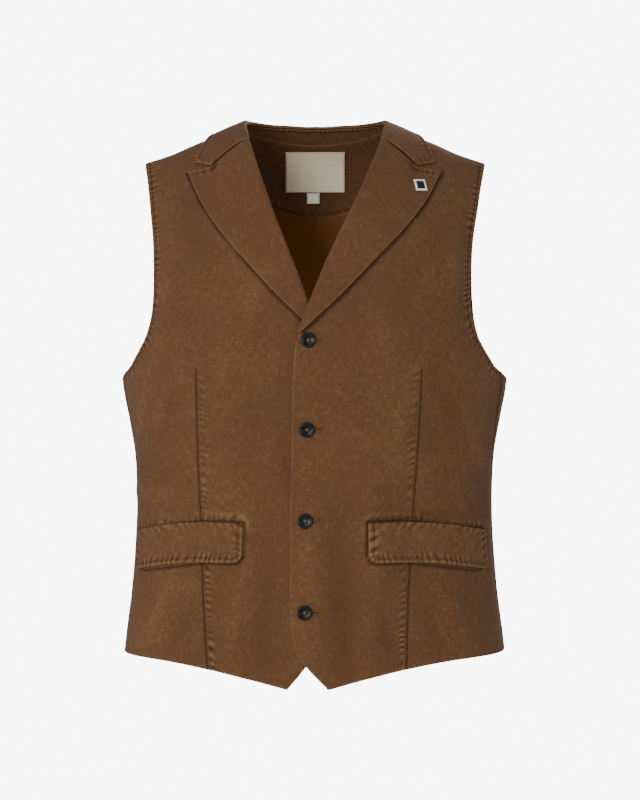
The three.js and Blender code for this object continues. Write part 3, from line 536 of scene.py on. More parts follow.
def spots_on(place: Place, at: np.ndarray, core: Sequence[float]) -> Spots:
    """Spots of a surface at points of its map."""
    here = place(at)
    sign = np.where(at[..., 0] < 0, -1.0, 1.0)
    across = place(at - np.stack([sign * ACROSS_STEP, 0 * sign], -1)) - here
    down = place(at - np.array([0.0, DOWN_STEP])) - here
    out = unit(np.cross(across, down))
    inward = np.sum(out * (here - np.array(core)), -1, keepdims=True) < 0
    return Spots(here, np.where(inward, -out, out))


def spots_of(points: np.ndarray, core: Sequence[float]) -> Spots:
    """Spots for a grid of bare points, with directions from the points beside each one."""
    out = unit(np.cross(np.gradient(points, axis=1), np.gradient(points, axis=0)))
    away = np.sum(out * (points - np.array(core)))
    return Spots(points, out if away > 0 else -out)


def with_fold(
    leaf: Spots, radius: np.ndarray, reach: np.ndarray, end: float, steps: int, core: Sequence[float]
) -> Spots:
    """A leaf with its fold: columns that turn back under its first column.

    Args:
        leaf: The leaf.
        radius: Radius of the fold for each row.
        reach: Angle at which the turn starts, for each row, in degrees.
        end: Angle at which it gives way to the leaf.
        steps: Columns of the turn.
        core: A point that the leaf looks away from.
    Returns:
        The leaf with the turn's columns first.
    """
    at, out = leaf.at[:, 0], leaf.out[:, 0]
    nose = unit(np.cross(np.gradient(at, axis=0), out))
    inward = np.sum(nose * (leaf.at[:, 1] - at), -1, keepdims=True) > 0
    nose = np.where(inward, -nose, nose)
    centre = at - out * radius[:, None]
    angles = np.radians(reach[:, None] + (end - reach[:, None]) * np.linspace(0, 1, steps + 1))
    turn = nose[:, None] * np.cos(angles)[..., None] + out[:, None] * np.sin(angles)[..., None]
    fold = centre[:, None] + turn * radius[:, None, None]
    return spots_of(np.concatenate([fold, leaf.at], axis=1), core)


def nearest(points: np.ndarray, at: np.ndarray) -> tuple[np.ndarray, np.ndarray]:
    """How far places lie from the nearest of some points, and which point that is."""
    tree = KDTree(len(points))
    for i, point in enumerate(points):
        tree.insert(point, i)
    tree.balance()
    found = [tree.find(place)[1:] for place in at]
    return np.array([away for _, away in found]), np.array([i for i, _ in found])


class Seamline:
    """A sewn line or an edge of the cloth."""

    def __init__(self, points: np.ndarray, spacing: float = 0.8) -> None:
        """Takes the line's points and spaces them evenly."""
        length = walked(points)
        self.along = np.linspace(0, length[-1], max(int(length[-1] / spacing), 4))
        self.points = points_at(points, length, self.along)

    def at(self, where: np.ndarray) -> np.ndarray:
        """The line's points at lengths along it."""
        return points_at(self.points, self.along, where)

    def measure(self, at: np.ndarray) -> tuple[np.ndarray, np.ndarray]:
        """How far points lie from the line, and the index of its nearest point."""
        return nearest(self.points, at)

    def beside(self, cloth: BVHTree, gauge: float) -> Seamline:
        """The line drawn in over the cloth by a gauge."""
        tangent = unit(np.gradient(self.points, axis=0))
        out = np.array([list(cloth.find_nearest(point)[1]) for point in self.points])
        across = unit(np.cross(tangent, out))
        tries = [self.points + across * gauge * sign for sign in (1, -1)]
        fits = [sum(cloth.find_nearest(point)[3] for point in points) for points in tries]
        return Seamline(tries[int(fits[1] < fits[0])])


# How a pucker's waves drift along a seam: share of a pitch, length in mm, and phase for each seed
DRIFT = ((0.45, 17, 1), (0.3, 7.3, 2.1))
# How they swell: length and phase of a slow and a quick change, and the share that stays steady
SWELL = ((23, 1.7), (9.1, 1))
STEADY = 0.6
# What makes each wave sharper on one flank
SHARPNESS = 0.35
SHARP_AT = 1.3


# On a shell a pucker's lift is painted into the cloth too: its crests paler and its hollows and groove
# darker, as painted light and shade.
@dataclass
class Pucker:
    """Ripples that a tight seam draws into washed cloth.

    gauge is the seam's distance from the line, and side keeps the ripples to one side of a line
    inside the cloth: -1 towards the middle of the garment, 1 away from it and 0 both. fade is the
    share of their depth that is lost by the line's end, and dip is the depth of the seam's own
    groove. The waves drift and swell along the line, each seed in its own way.
    """

    line: Seamline
    gauge: float = 0.0
    depth: float = 0.5
    pitch: float = 6.8
    reach: float = 6.0
    slant: float = 0.35
    side: int = 0
    dip: float = 0.45
    fade: float = 0.0
    seed: int = 0
    groove_width: float = 1.1
    side_turn: float = 1.5
    far_side: float = 0.25

    def __call__(self, at: np.ndarray) -> np.ndarray:
        """The lift at each point."""
        away, index = self.line.measure(at)
        along = self.line.along[index]
        keep = np.ones(len(at))
        if self.side:
            beyond = (np.abs(at[:, 0]) - np.abs(self.line.points[index, 0])) * self.side
            keep = mix(self.far_side, 1.0, ease(beyond / self.side_turn + 0.5))
        drift = sum(size * np.sin(along / length + phase * self.seed) for size, length, phase in DRIFT)
        slow, quick = (np.sin(along / length + phase * self.seed) for length, phase in SWELL)
        uneven = STEADY + (1 - STEADY) * slow * quick
        uneven = uneven * (1 - self.fade * along / self.line.along[-1])
        turns = 2 * math.pi * ((along + self.slant * away) / self.pitch + drift)
        wave = np.sin(turns) + SHARPNESS * np.sin(2 * turns + SHARP_AT)
        near = np.exp(-(((away - self.gauge) / self.reach) ** 2))
        groove = np.exp(-(((away - self.gauge) / self.groove_width) ** 2))
        return self.depth * wave * near * uneven * keep - self.dip * groove


@dataclass
class Ridge:
    """A raised line where layers end under the cloth, or a groove where the height is negative. On a shell a
    ridge is painted paler and a groove darker: painted light and shade.
    """

    line: Seamline
    height: float = 0.5
    width: float = 1.5

    def __call__(self, at: np.ndarray) -> np.ndarray:
        """The lift at each point."""
        away, _ = self.line.measure(at)
        return self.height * np.exp(-((away / self.width) ** 2))


@dataclass(frozen=True)
class Slots:
    """The row of buttonholes, which sink a little into the cloth beside each button."""

    heights: tuple[float, ...] = (-216, -311, -408, -505)
    start: float = -1.5
    end: float = 16.5
    shown_from: float = 7.0
    deep: float = 0.6
    width: float = 1.5

    def sunk(self, middle: Curve) -> Relief:
        """The slots' lift, measured across from the closure's middle."""

        def lift(at: np.ndarray) -> np.ndarray:
            """How far each point lies out."""
            x, z = at[:, 0] - middle(at[:, 2]), at[:, 2]
            rows = sum(np.exp(-(((z - height) / self.width) ** 2)) for height in self.heights)
            return -self.deep * rows * ease(x - self.shown_from + 0.5) * ease(self.end + 1 - x)

        return lift


SLOTS = Slots()


def add_mesh(
    name: str,
    points: np.ndarray,
    faces: Sequence[Sequence[int]],
    material: bpy.types.Material,
    uv: np.ndarray | None = None,
    wear: np.ndarray | None = None,
) -> bpy.types.Object:
    """Adds a smooth-shaded mesh to the scene.

    Args:
        name: The piece's name.
        points: Its points in millimetres.
        faces: Its faces.
        material: Its material.
        uv: Place on the flat cloth in millimetres, one row for each corner of each face.
        wear: Tone of each point, from -1 to 1: paler for worn edges and painted highlights, darker for
            painted shade.
    Returns:
        The object.
    """
    mesh = bpy.data.meshes.new(name)
    mesh.from_pydata((np.asarray(points) * MM).tolist(), [], [list(map(int, face)) for face in faces])
    mesh.polygons.foreach_set("use_smooth", [True] * len(mesh.polygons))
    if uv is not None:
        layer = mesh.uv_layers.new(name="Cloth")
        layer.data.foreach_set("uv", (uv * MM).astype(np.float32).ravel())
    if wear is not None:
        attribute = mesh.attributes.new("wear", "FLOAT", "POINT")
        attribute.data.foreach_set("value", wear.astype(np.float32))
    mesh.materials.append(material)
    mesh.update()
    piece = bpy.data.objects.new(name, mesh)
    bpy.context.scene.collection.objects.link(piece)
    return piece


def settle(piece: bpy.types.Object, slot: str, nodes: Sequence[str] = ()) -> bpy.types.Object:
    """Puts a piece on the garment's body in place of CAD nodes, and logs it with a slot's name."""
    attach(piece, BODY)
    if nodes:
        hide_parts(*nodes)
    LOG.info("%s: %d faces, slot %s", piece.name, len(piece.data.polygons), slot)
    return piece


# Share of the thickness that each face rounds off at an edge, and the width of the paler band along that
# edge, partly wear and partly a painted highlight on the rolled edge
EDGE_SINK = 0.42
EDGE_WEAR_AND_HIGHLIGHT_REACH = 1.3
# How much paler a fold and a sewn ripple or ridge are painted for each millimetre that they stand out, and
# how much darker for each that they sink: painted light and shade
FOLD_PAINTED_LIGHT = 0.075
SEWN_PAINTED_LIGHT = 1.6
# Beside a seam the folds die out, so that neighbouring panels meet, and near the sides the sewing too
SEAM_HOLD = 3
SEAM_REACH = 6


@dataclass
class Shell:
    """A closed wall of cloth under one or more grids that share their edges."""

    node: str
    slot: str
    grids: Sequence[Spots]
    thickness: float
    material: bpy.types.Material
    stuff: str = "cloth"
    reliefs: Sequence[Relief] = ()
    shades: Sequence[Relief] = ()
    seamed: bool = False
    seam_gap: float = 0.3
    roll: float = 1.3
    edge_wear_and_highlight: float = 0.45
    base_painted_highlight: float = 0.0

    @property
    def name(self) -> str:
        """The piece's name."""
        return f"{self.node}_{self.stuff}"

    def weld(self) -> None:
        """Joins the grids' points, and makes the quads and their places on the flat cloth."""
        at = np.concatenate([grid.at.reshape(-1, 3) for grid in self.grids])
        out = np.concatenate([grid.out.reshape(-1, 3) for grid in self.grids])
        cloth = np.concatenate([grid.cloth().reshape(-1, 2) for grid in self.grids])
        _, first, index = np.unique(np.round(at, 3), axis=0, return_index=True, return_inverse=True)
        index = index.ravel()
        total = np.zeros((len(first), 3))
        np.add.at(total, index, out)
        self.at, self.out = at[first], unit(total)
        quads, start = [], 0
        for grid in self.grids:
            rows, columns = grid.at.shape[:2]
            ids = np.arange(start, start + rows * columns).reshape(rows, columns)
            start += rows * columns
            ring = np.stack([ids[:-1, :-1], ids[:-1, 1:], ids[1:, 1:], ids[1:, :-1]], -1).reshape(-1, 4)
            p = grid.at
            normals = np.cross(p[:-1, 1:] - p[:-1, :-1], p[1:, :-1] - p[:-1, :-1])
            turn = np.sum(normals * grid.out[:-1, :-1])
            quads.append(ring if turn > 0 else ring[:, ::-1])
        corners = np.concatenate(quads)
        self.quads, self.corner_cloth = index[corners], cloth[corners]

    def rim(self) -> tuple[np.ndarray, np.ndarray]:
        """The directed edges that only one quad has, and their quads' first corners."""
        starts = self.quads.ravel()
        ends = np.roll(self.quads, -1, axis=1).ravel()
        count = len(self.at)
        alone = ~np.isin(starts * count + ends, ends * count + starts)
        return np.stack([starts[alone], ends[alone]], -1), np.repeat(np.arange(len(self.quads)), 4)[alone]

    def build(self) -> bpy.types.Object:
        """Makes the wall's mesh: outer face, inner face and rolled edge."""
        self.weld()
        edges, owners = self.rim()
        away, _ = nearest(self.at[edges[:, 0]], self.at)
        broad = sum((relief(self.at) for relief in self.reliefs), np.zeros(len(self.at)))
        sewn = sum((shade(self.at) for shade in self.shades), np.zeros(len(self.at)))
        rest = 1 - np.clip(away / self.roll, 0, 1)
        sink = EDGE_SINK * self.thickness * (1 - np.sqrt(np.maximum(1 - rest * rest, 0)))
        way = self.out.copy()
        if self.seamed:
            at_seam = np.abs(self.at[:, 1]) < 2 * self.seam_gap
            at_centre = (self.at[:, 1] > 0) & (np.abs(self.at[:, 0]) < self.seam_gap)
            way[at_seam, 1] = 0
            way[at_centre & ~at_seam, 0] = 0
            way = unit(way)
            self.at[at_seam, 1] = 0
            self.at[at_centre, 0] = 0
            hold = ease(away / SEAM_HOLD)
            broad, sewn = broad * hold, sewn * np.where(np.abs(self.at[:, 1]) < SEAM_REACH, hold, 1)
        lifted = self.at + self.out * (broad + sewn)[:, None]
        outer = lifted - self.out * sink[:, None]
        inner = lifted - way * self.thickness + self.out * sink[:, None]
        count = len(self.at)
        side = np.stack([edges[:, 1], edges[:, 0], edges[:, 0] + count, edges[:, 1] + count], -1)
        faces = np.concatenate([self.quads, self.quads[:, ::-1] + count, side])
        rim_cloth = np.repeat(self.corner_cloth[owners, :1], 4, axis=1)
        uv = np.concatenate([self.corner_cloth, self.corner_cloth[:, ::-1], rim_cloth]).reshape(-1, 2)
        # Tone for the cloth's colour: paler along the edges, partly wear and partly a painted highlight;
        # paler where folds, ripples and ridges stand out and darker in troughs, hollows and grooves, as
        # painted light and shade; and a base lift, a painted highlight over a whole piece.
        worn_and_highlit_edge = self.edge_wear_and_highlight * np.exp(-((away / EDGE_WEAR_AND_HIGHLIGHT_REACH) ** 2))
        raised = np.clip(self.base_painted_highlight + FOLD_PAINTED_LIGHT * broad + SEWN_PAINTED_LIGHT * sewn + worn_and_highlit_edge, -1, 1)
        wear = np.concatenate([raised, raised])
        self.surface = BVHTree.FromPolygons(outer.tolist(), self.quads.tolist())
        piece = add_mesh(self.name, np.concatenate([outer, inner]), faces, self.material, uv, wear)
        self.piece = settle(piece, self.slot, [self.node])
        return self.piece

    def declare(self) -> None:
        """Works out the wall's width and length from its grids' own lengths and area, and does nothing more
        with them.
        """
        sizes = [grid.lengths() for grid in self.grids]
        width = max(rows for rows, _ in sizes)
        length = sum(columns for _, columns in sizes)
        area = sum(grid.area() for grid in self.grids)
        length = max(length, area / width)

    def stitched(
        self, material: bpy.types.Material, topstitched: Iterable[Seamline], close: Iterable[Seamline] = ()
    ) -> bpy.types.Object:
        """Sews lines over the built wall, in topstitches and in closer ones."""
        thread = Thread()
        for lines, stitch in ((topstitched, TOPSTITCH), (close, CLOSE_STITCH)):
            for line in lines:
                thread.run(line, self.surface, stitch)
        return thread.build(f"{self.node}_stitches", material, "cloth")


def tube_faces(sides: int, rings: int, base: int) -> list[list[int]]:
    """Faces of a closed tube of rings of points, which are numbered from a base on."""
    faces = []
    for start in range(base, base + (rings - 1) * sides, sides):
        for i in range(sides):
            j = (i + 1) % sides
            faces.append([start + i, start + j, start + sides + j, start + sides + i])
    faces.append([base + i for i in reversed(range(sides))])
    faces.append([base + (rings - 1) * sides + i for i in range(sides)])
    return faces


@dataclass(frozen=True)
class Stitch:
    """A kind of stitch: from one to the next, and the length of each."""

    pitch: float
    length: float


TOPSTITCH = Stitch(3.7, 2.7)
CLOSE_STITCH = Stitch(3.1, 1.9)
# A stitch's thickness and height from end to end, as shares of the thread's radius and its lift
STITCH_TAPER = (0.3, 0.9, 1.0, 0.9, 0.3)
STITCH_ARCH = (-0.5, 0.7, 1.0, 0.7, -0.5)


@dataclass
class Thread:
    """Sewing thread: short stitches and bars, gathered into one mesh."""

    radius: float = 0.36
    lift: float = 0.12
    sides: int = 6
    points: list[np.ndarray] = field(default_factory=list)
    faces: list[list[int]] = field(default_factory=list)
    count: int = 0

    def bar(self, path: np.ndarray, up: np.ndarray, radii: np.ndarray) -> None:
        """Adds one closed bar of thread.

        Args:
            path: Points of its centreline.
            up: Outward direction at each.
            radii: Radius at each.
        """
        tangent = unit(np.gradient(path, axis=0))
        across = unit(np.cross(tangent, up))
        turn = np.linspace(0, 2 * math.pi, self.sides, endpoint=False)
        level = np.cross(across, tangent)
        ring = across[:, None] * np.cos(turn)[:, None] + level[:, None] * np.sin(turn)[:, None]
        points = path[:, None] + ring * radii[:, None, None]
        self.faces += tube_faces(self.sides, len(path), self.count)
        self.points.append(points.reshape(-1, 3))
        self.count += len(path) * self.sides

    def run(self, line: Seamline, cloth: BVHTree, stitch: Stitch) -> None:
        """Sews a line of stitches over the cloth.

        Args:
            line: The line.
            cloth: The cloth's outer face.
            stitch: The kind of stitch.
        """
        taper, height = np.array(STITCH_TAPER) * self.radius, np.array(STITCH_ARCH) * self.lift
        for start in np.arange(stitch.pitch / 2, line.along[-1] - stitch.length, stitch.pitch):
            where = start + np.linspace(0, stitch.length, len(taper))
            found = [cloth.find_nearest(point) for point in line.at(where)]
            up = np.array([list(hit[1]) for hit in found])
            path = np.array([list(hit[0]) for hit in found]) + up * height[:, None]
            self.bar(path, up, taper)

    def build(self, name: str, material: bpy.types.Material, slot: str) -> bpy.types.Object:
        """Makes the mesh of all the thread."""
        return settle(add_mesh(name, np.concatenate(self.points), self.faces, material), slot)


# How far light bends into cloth, horn and enamel alike
INDEX = 1.5


@dataclass(frozen=True)
class Srgb:
    """The constants of the sRGB curve."""

    whole: float = 255
    knee: float = 0.04045
    slope: float = 12.92
    lift: float = 0.055
    power: float = 2.4


def linear(sheet: str) -> tuple[float, float, float, float]:
    """A colour given as an sRGB hex value, as the linear values that a shader takes."""
    curve = Srgb()
    parts = [int(sheet[k : k + 2], base=16) / curve.whole for k in (1, 3, 5)]
    turned = [
        c / curve.slope if c <= curve.knee else ((c + curve.lift) / (1 + curve.lift)) ** curve.power
        for c in parts
    ]
    return (turned[0], turned[1], turned[2], 1.0)


def add_node(
    tree: bpy.types.NodeTree,
    kind: str,
    settings: dict[str | int, Any] | None = None,
    links: dict[str | int, bpy.types.NodeSocket] | None = None,
) -> bpy.types.Node:
    """Adds a node with its settings and links.

    Args:
        tree: The material's nodes.
        kind: The node's type.
        settings: Values for its properties, or for its inputs by name or number.
        links: Sockets that feed its inputs.
    Returns:
        The node.
    """
    node = tree.nodes.new(kind)
    for key, value in (settings or {}).items():
        if isinstance(key, str) and hasattr(node, key):
            setattr(node, key, value)
        else:
            node.inputs[key].default_value = value
    for key, source in (links or {}).items():
        tree.links.new(source, node.inputs[key])
    return node


def blank_material(name: str) -> bpy.types.Material:
    """A material with no nodes yet."""
    material = bpy.data.materials.new(name)
    material.use_nodes = True
    material.node_tree.nodes.clear()
    return material


def noise(
    tree: bpy.types.NodeTree, vector: bpy.types.NodeSocket, detail: float, size: Sequence[float]
) -> bpy.types.NodeSocket:
    """Noise whose grains have a size in millimetres along each axis of a vector."""
    scale = tuple(1 / (length * MM) for length in size)
    laid = add_node(tree, "ShaderNodeMapping", {"Scale": scale}, {"Vector": vector}).outputs[0]
    node = add_node(tree, "ShaderNodeTexNoise", {"Scale": 1.0, "Detail": detail}, {"Vector": laid})
    return node.outputs["Fac"]


def ramp(
    tree: bpy.types.NodeTree, tone: bpy.types.NodeSocket, stops: Sequence[tuple[float, str]]
) -> bpy.types.NodeSocket:
    """Colours for a tone, from hex values at rising places, first and last of them the ramp's own."""
    node = add_node(tree, "ShaderNodeValToRGB", links={"Fac": tone})
    elements = node.color_ramp.elements
    for element, (place, sheet) in zip(list(elements), (stops[0], stops[-1])):
        element.position, element.color = place, linear(sheet)
    for place, sheet in stops[1:-1]:
        elements.new(place).color = linear(sheet)
    return node.outputs["Color"]


def surfaced(
    material: bpy.types.Material,
    colour: bpy.types.NodeSocket,
    height: bpy.types.NodeSocket,
    bump: tuple[float, float],
    settings: dict[str | int, Any],
) -> bpy.types.Material:
    """Ends a material in its surface.

    Args:
        material: The material.
        colour: The colour that the surface has.
        height: The height that its bump follows.
        bump: The bump's strength, and its depth in millimetres.
        settings: Values for the surface.
    Returns:
        The material.
    """
    tree = material.node_tree
    relief = {"Strength": bump[0], "Distance": bump[1] * MM}
    normal = add_node(tree, "ShaderNodeBump", relief, {"Height": height}).outputs[0]
    links = {"Base Color": colour, "Normal": normal}
    surface = add_node(tree, "ShaderNodeBsdfPrincipled", {"IOR": INDEX, **settings}, links)
    add_node(tree, "ShaderNodeOutputMaterial", links={"Surface": surface.outputs[0]})
    return material


def weighed(
    tree: bpy.types.NodeTree, start: float, layers: Sequence[tuple[bpy.types.NodeSocket, float]]
) -> bpy.types.NodeSocket:
    """The sum of layers, each by its weight, on top of a start value."""
    settings, links = {2: start}, {}
    for source, weight in layers:
        settings = {"operation": "MULTIPLY_ADD", 1: weight, **settings}
        total = add_node(tree, "ShaderNodeMath", settings, {0: source, **links}).outputs[0]
        settings, links = {}, {2: total}
    return total


@dataclass(frozen=True)
class WovenCloth:
    """A washed, garment-dyed plain weave of linen and cotton.

    Uneven yarns give fine streaks both ways and the dye lies in soft clouds. The edges are paler, partly
    from wear and partly as a painted highlight, and folds, sewn ripples and ridges are painted paler where
    they stand out and darker in their troughs and grooves, as painted light and shade. Matt, with a little
    fuzz.
    """

    name: str = "garment_dyed_linen"
    deep: str = "#3d2616"
    dyed: str = "#64442c"
    faded_and_highlit: str = "#93704d"
    rusty: str = "#fff9f7"
    olive: str = "#fbfef5"
    roughness: float = 0.88
    sheen: float = 0.05
    yarn_mm: float = 1.1  # drawn about three yarns wide, so that it shows
    slub_mm: float = 9.0
    cloud_mm: float = 75.0
    mottle_mm: float = 5.0
    crumple_mm: float = 15.0
    tint_mm: float = 60.0
    tint_turn: tuple[float, float] = (0.35, 0.65)
    weave_weight: float = 0.36
    cross_weight: float = 0.216
    cloud_weight: float = 0.24
    mottle_weight: float = 0.3
    wear_weight: float = 0.5
    yarn_height: float = 0.22
    mottle_height: float = 0.35
    bump: tuple[float, float] = (0.8, 0.55)

    def build(self) -> bpy.types.Material:
        """Makes the material."""
        material = blank_material(self.name)
        tree = material.node_tree
        flat = add_node(tree, "ShaderNodeUVMap", {"uv_map": "Cloth"}).outputs["UV"]
        space = add_node(tree, "ShaderNodeTexCoord").outputs["Object"]
        warp, weft = (
            noise(tree, flat, 2.0, (*size, 1 / MM))
            for size in ((self.yarn_mm, self.slub_mm), (self.slub_mm, self.yarn_mm))
        )
        cloud, mottle, crumple = (
            self.spread(tree, space, size, detail, 0.55)
            for size, detail in ((self.cloud_mm, 3.0), (self.mottle_mm, 3.0), (self.crumple_mm, 2.0))
        )
        layers = [
            (warp, self.weave_weight),
            (weft, self.cross_weight),
            (cloud, self.cloud_weight),
            (mottle, self.mottle_weight),
        ]
        level = 0.5 - sum(weight for _, weight in layers) / 2
        # The shells' tone attribute paints worn edges, painted highlights and painted shade into the colour:
        # the ramp's pale end stands for the edges and highlights, its dark end for the shade as well as
        # darker yarn.
        wear = add_node(tree, "ShaderNodeAttribute", {"attribute_name": "wear"}).outputs["Fac"]
        tone = weighed(tree, level, [*layers, (wear, self.wear_weight)])
        shades = ramp(tree, tone, ((0, self.deep), (0.5, self.dyed), (1, self.faded_and_highlit)))
        patchy = self.spread(tree, space, self.tint_mm, 2.0, 0.5)
        tints = ramp(tree, patchy, tuple(zip(self.tint_turn, (self.rusty, self.olive))))
        multiply = {"data_type": "RGBA", "blend_type": "MULTIPLY", "Factor": 1.0}
        dye = add_node(tree, "ShaderNodeMix", multiply, {"A": shades, "B": tints}).outputs["Result"]
        heights = [(yarn, self.yarn_height) for yarn in (warp, weft)]
        heights += [(mottle, self.mottle_height), (crumple, 1.0)]
        settings = {
            "Roughness": self.roughness,
            "Specular IOR Level": 0.2,
            "Sheen Weight": self.sheen,
            "Sheen Roughness": 0.5,
        }
        return surfaced(material, dye, weighed(tree, 0.0, heights), self.bump, settings)

    @staticmethod
    def spread(
        tree: bpy.types.NodeTree, space: bpy.types.NodeSocket, size: float, detail: float, rough: float
    ) -> bpy.types.NodeSocket:
        """Noise in space, with a grain size in millimetres."""
        settings = {"Scale": 1 / MM / size, "Detail": detail, "Roughness": rough}
        return add_node(tree, "ShaderNodeTexNoise", settings, {"Vector": space}).outputs["Fac"]


@dataclass(frozen=True)
class SatinLining:
    """Viscose satin, woven and pressed: close warp floats with a soft gloss and slack ripples."""

    name: str = "viscose_satin"
    shade: str = "#4a2602"
    light: str = "#78460a"
    roughness: float = 0.5
    ripple_mm: tuple[float, float] = (34, 102)
    float_mm: tuple[float, float] = (0.9, 27)  # drawn about four warp threads wide, so that it shows
    level: float = -0.15
    float_weight: float = 0.5
    ripple_painted_light_weight: float = 0.8
    float_height: float = 0.06
    bump: tuple[float, float] = (0.6, 1.5)

    def build(self) -> bpy.types.Material:
        """Makes the material."""
        material = blank_material(self.name)
        tree = material.node_tree
        flat = add_node(tree, "ShaderNodeUVMap", {"uv_map": "Cloth"}).outputs["UV"]
        floats = noise(tree, flat, 2.0, (*self.float_mm, 1 / MM))
        ripple = noise(tree, flat, 2.5, (*self.ripple_mm, 1 / MM))
        # The ripples also paint the colour, lighter on their crests and darker in their hollows: painted
        # light and shade.
        tone = weighed(tree, self.level, [(floats, self.float_weight), (ripple, self.ripple_painted_light_weight)])
        height = weighed(tree, 0.0, [(floats, self.float_height), (ripple, 1.0)])
        colour = ramp(tree, tone, ((0, self.shade), (1, self.light)))
        settings = {"Roughness": self.roughness, "Specular IOR Level": 0.15}
        return surfaced(material, colour, height, self.bump, settings)


@dataclass(frozen=True)
class Speckled:
    """A finish with two near tones in a fine pattern, and a slight bump of the same pattern."""

    name: str
    first: str
    second: str
    roughness: float
    grain_mm: tuple[float, float, float]
    coat: float = 0.0
    bump_mm: float = 0.05
    bump_strength: float = 0.6
    specular: float = 0.5

    def build(self) -> bpy.types.Material:
        """Makes the material."""
        material = blank_material(self.name)
        tree = material.node_tree
        space = add_node(tree, "ShaderNodeTexCoord").outputs["Object"]
        grain = noise(tree, space, 3.0, self.grain_mm)
        colour = ramp(tree, grain, ((0.3, self.first), (0.7, self.second)))
        settings = {"Coat Weight": self.coat, "Specular IOR Level": self.specular}
        bump = (self.bump_strength, self.bump_mm)
        return surfaced(material, colour, grain, bump, {"Roughness": self.roughness, **settings})


# Each common name says how the stuff was made and what that gives the eye
CLOTH = WovenCloth()
# The same cloth inside the neck, painted a shade darker: a painted shade for the shadow that it lies in
SHADED_FACING = WovenCloth(name="garment_dyed_linen_painted_shade", deep="#35200f", dyed="#5a3b24", faded_and_highlit="#845d39")
LINING = SatinLining()
# Spun cotton sewing thread, dyed with the garment: a shade paler than the cloth
THREAD = Speckled("cotton_thread", "#6f5032", "#84623f", 0.8, (1.2, 1.2, 1.2), specular=0.25)
# Turned and tumbled horn: near black with faint streaks and a soft polish
HORN = Speckled("polished_horn", "#07080a", "#0e0f12", 0.3, (6.0, 6.0, 1.5), bump_mm=0.02, specular=0.3)
# Woven polyester damask: cream, with the weft's fine ribs
DAMASK = Speckled("damask_label", "#e2d0b3", "#eddec5", 0.75, (5.0, 5.0, 0.8), bump_mm=0.08, specular=0.3)
# Woven polyester tape: a whiter cream than the label, and closer
TAPE = Speckled("woven_tape", "#fff3e2", "#fffaf0", 0.7, (3.0, 3.0, 0.8), bump_mm=0.05, specular=0.3)
# Fired enamel: creamy white, level and glossy
ENAMEL = Speckled("fired_enamel", "#f3ede0", "#faf6ec", 0.25, (3.0, 3.0, 3.0), coat=0.4, bump_mm=0.01)
# Rolled floor paint: pale, matt and all but even
FLOOR = Speckled("painted_floor", "#e6e5e3", "#ecebe9", 0.7, (300, 300, 300), bump_mm=0.2)
# Black resin plate, finely brushed
RESIN = Speckled("black_resin", "#0d0b0a", "#1d1916", 0.4, (0.5, 0.5, 5.0), bump_mm=0.02)


@dataclass
class Finishes:
    """The garment's materials, made once."""

    cloth: bpy.types.Material
    facing: bpy.types.Material
    lining: bpy.types.Material
    thread: bpy.types.Material
    horn: bpy.types.Material
    label: bpy.types.Material
    tag: bpy.types.Material
    enamel: bpy.types.Material
    resin: bpy.types.Material

    @classmethod
    def make(cls) -> Finishes:
        """Builds every material."""
        kinds = (CLOTH, SHADED_FACING, LINING, THREAD, HORN, DAMASK, TAPE, ENAMEL, RESIN)
        return cls(*(kind.build() for kind in kinds))


@dataclass(frozen=True)
class ArmholeRow:
    """The armhole's edge on the front and on the back at a height."""

    z: float
    front: float
    back: float


@dataclass(frozen=True)
class Cut:
    """Landmarks that neighbouring pieces share, from the cut of the waistcoat."""

    cloth: float = 1.6
    leaf: float = 1.3
    lining: float = 1.0
    lining_air: float = 0.9
    flap: float = 1.8
    label: float = 1.0
    label_air: float = 1.2
    seam_gap: float = 0.3
    laid_gap: float = 0.6
    hem_point: Drop = Drop(21.8, -587)
    break_point: Drop = Drop(-10, -208)
    gorge: Drop = Drop(74.5, 2)
    notch: Drop = Drop(110.5, -28.2)
    underarm_z: float = -256
    chest_z: float = -225
    side_hem_z: float = -553
    back_hem_z: float = -549
    shoulder_tip: float = 187
    neck_point: float = 82
    chest_at: float = 0.77
    armhole_at: float = 0.47
    armhole_bottom: ArmholeRow = ArmholeRow(-243.5, 199, 200)
    armhole: tuple[ArmholeRow, ...] = table_of(
        ArmholeRow,
        (-228, 189, 190.5), (-212, 180.5, 183.5), (-197, 175.5, 179.5), (-180, 172.6, 177),
        (-158, 171.4, 175.6), (-132, 172, 175.4), (-104, 174, 176.6), (-75, 178, 179.6),
        (-45, 182.4, 183.4),
    )
    front_edge: tuple[Drop, ...] = table_of(
        Drop,
        (21.8, -587), (7, -571), (-2, -560.5), (-7, -553), (-11, -543), (-13.6, -531), (-15.6, -505),
        (-16, -420), (-16, -320), (-15.6, -245), (-13.6, -222), (-10, -208),
    )
    front_hem: tuple[Drop, ...] = (Drop(60, -577), Drop(108, -566), Drop(160, -558))
    roll_line: tuple[Drop, ...] = table_of(
        Drop,
        (-10, -208), (-1.6, -187), (18.2, -138), (44.5, -77), (61, -36), (74.5, 2),
    )
    lapel_edge: tuple[Drop, ...] = table_of(
        Drop,
        (-6.8, -206), (4, -196), (35, -166.5), (68, -131), (96.5, -99.5), (119.5, -68), (137, -33),
    )
    facing_drop: float = 69
    facing_arc: float = 215
    facing_half: float = 113

    def arc_z(self, x: float) -> float:
        """Height of the curved line under the back neck facing."""
        return -self.facing_drop + x * x / self.facing_arc


@dataclass(frozen=True)
class CollarRow:
    """The neck seam seen from above, the collar's edge beside it, and the fold's inset and height."""

    x: float
    y: float
    edge_x: float
    edge_y: float
    inset: float
    fold: float


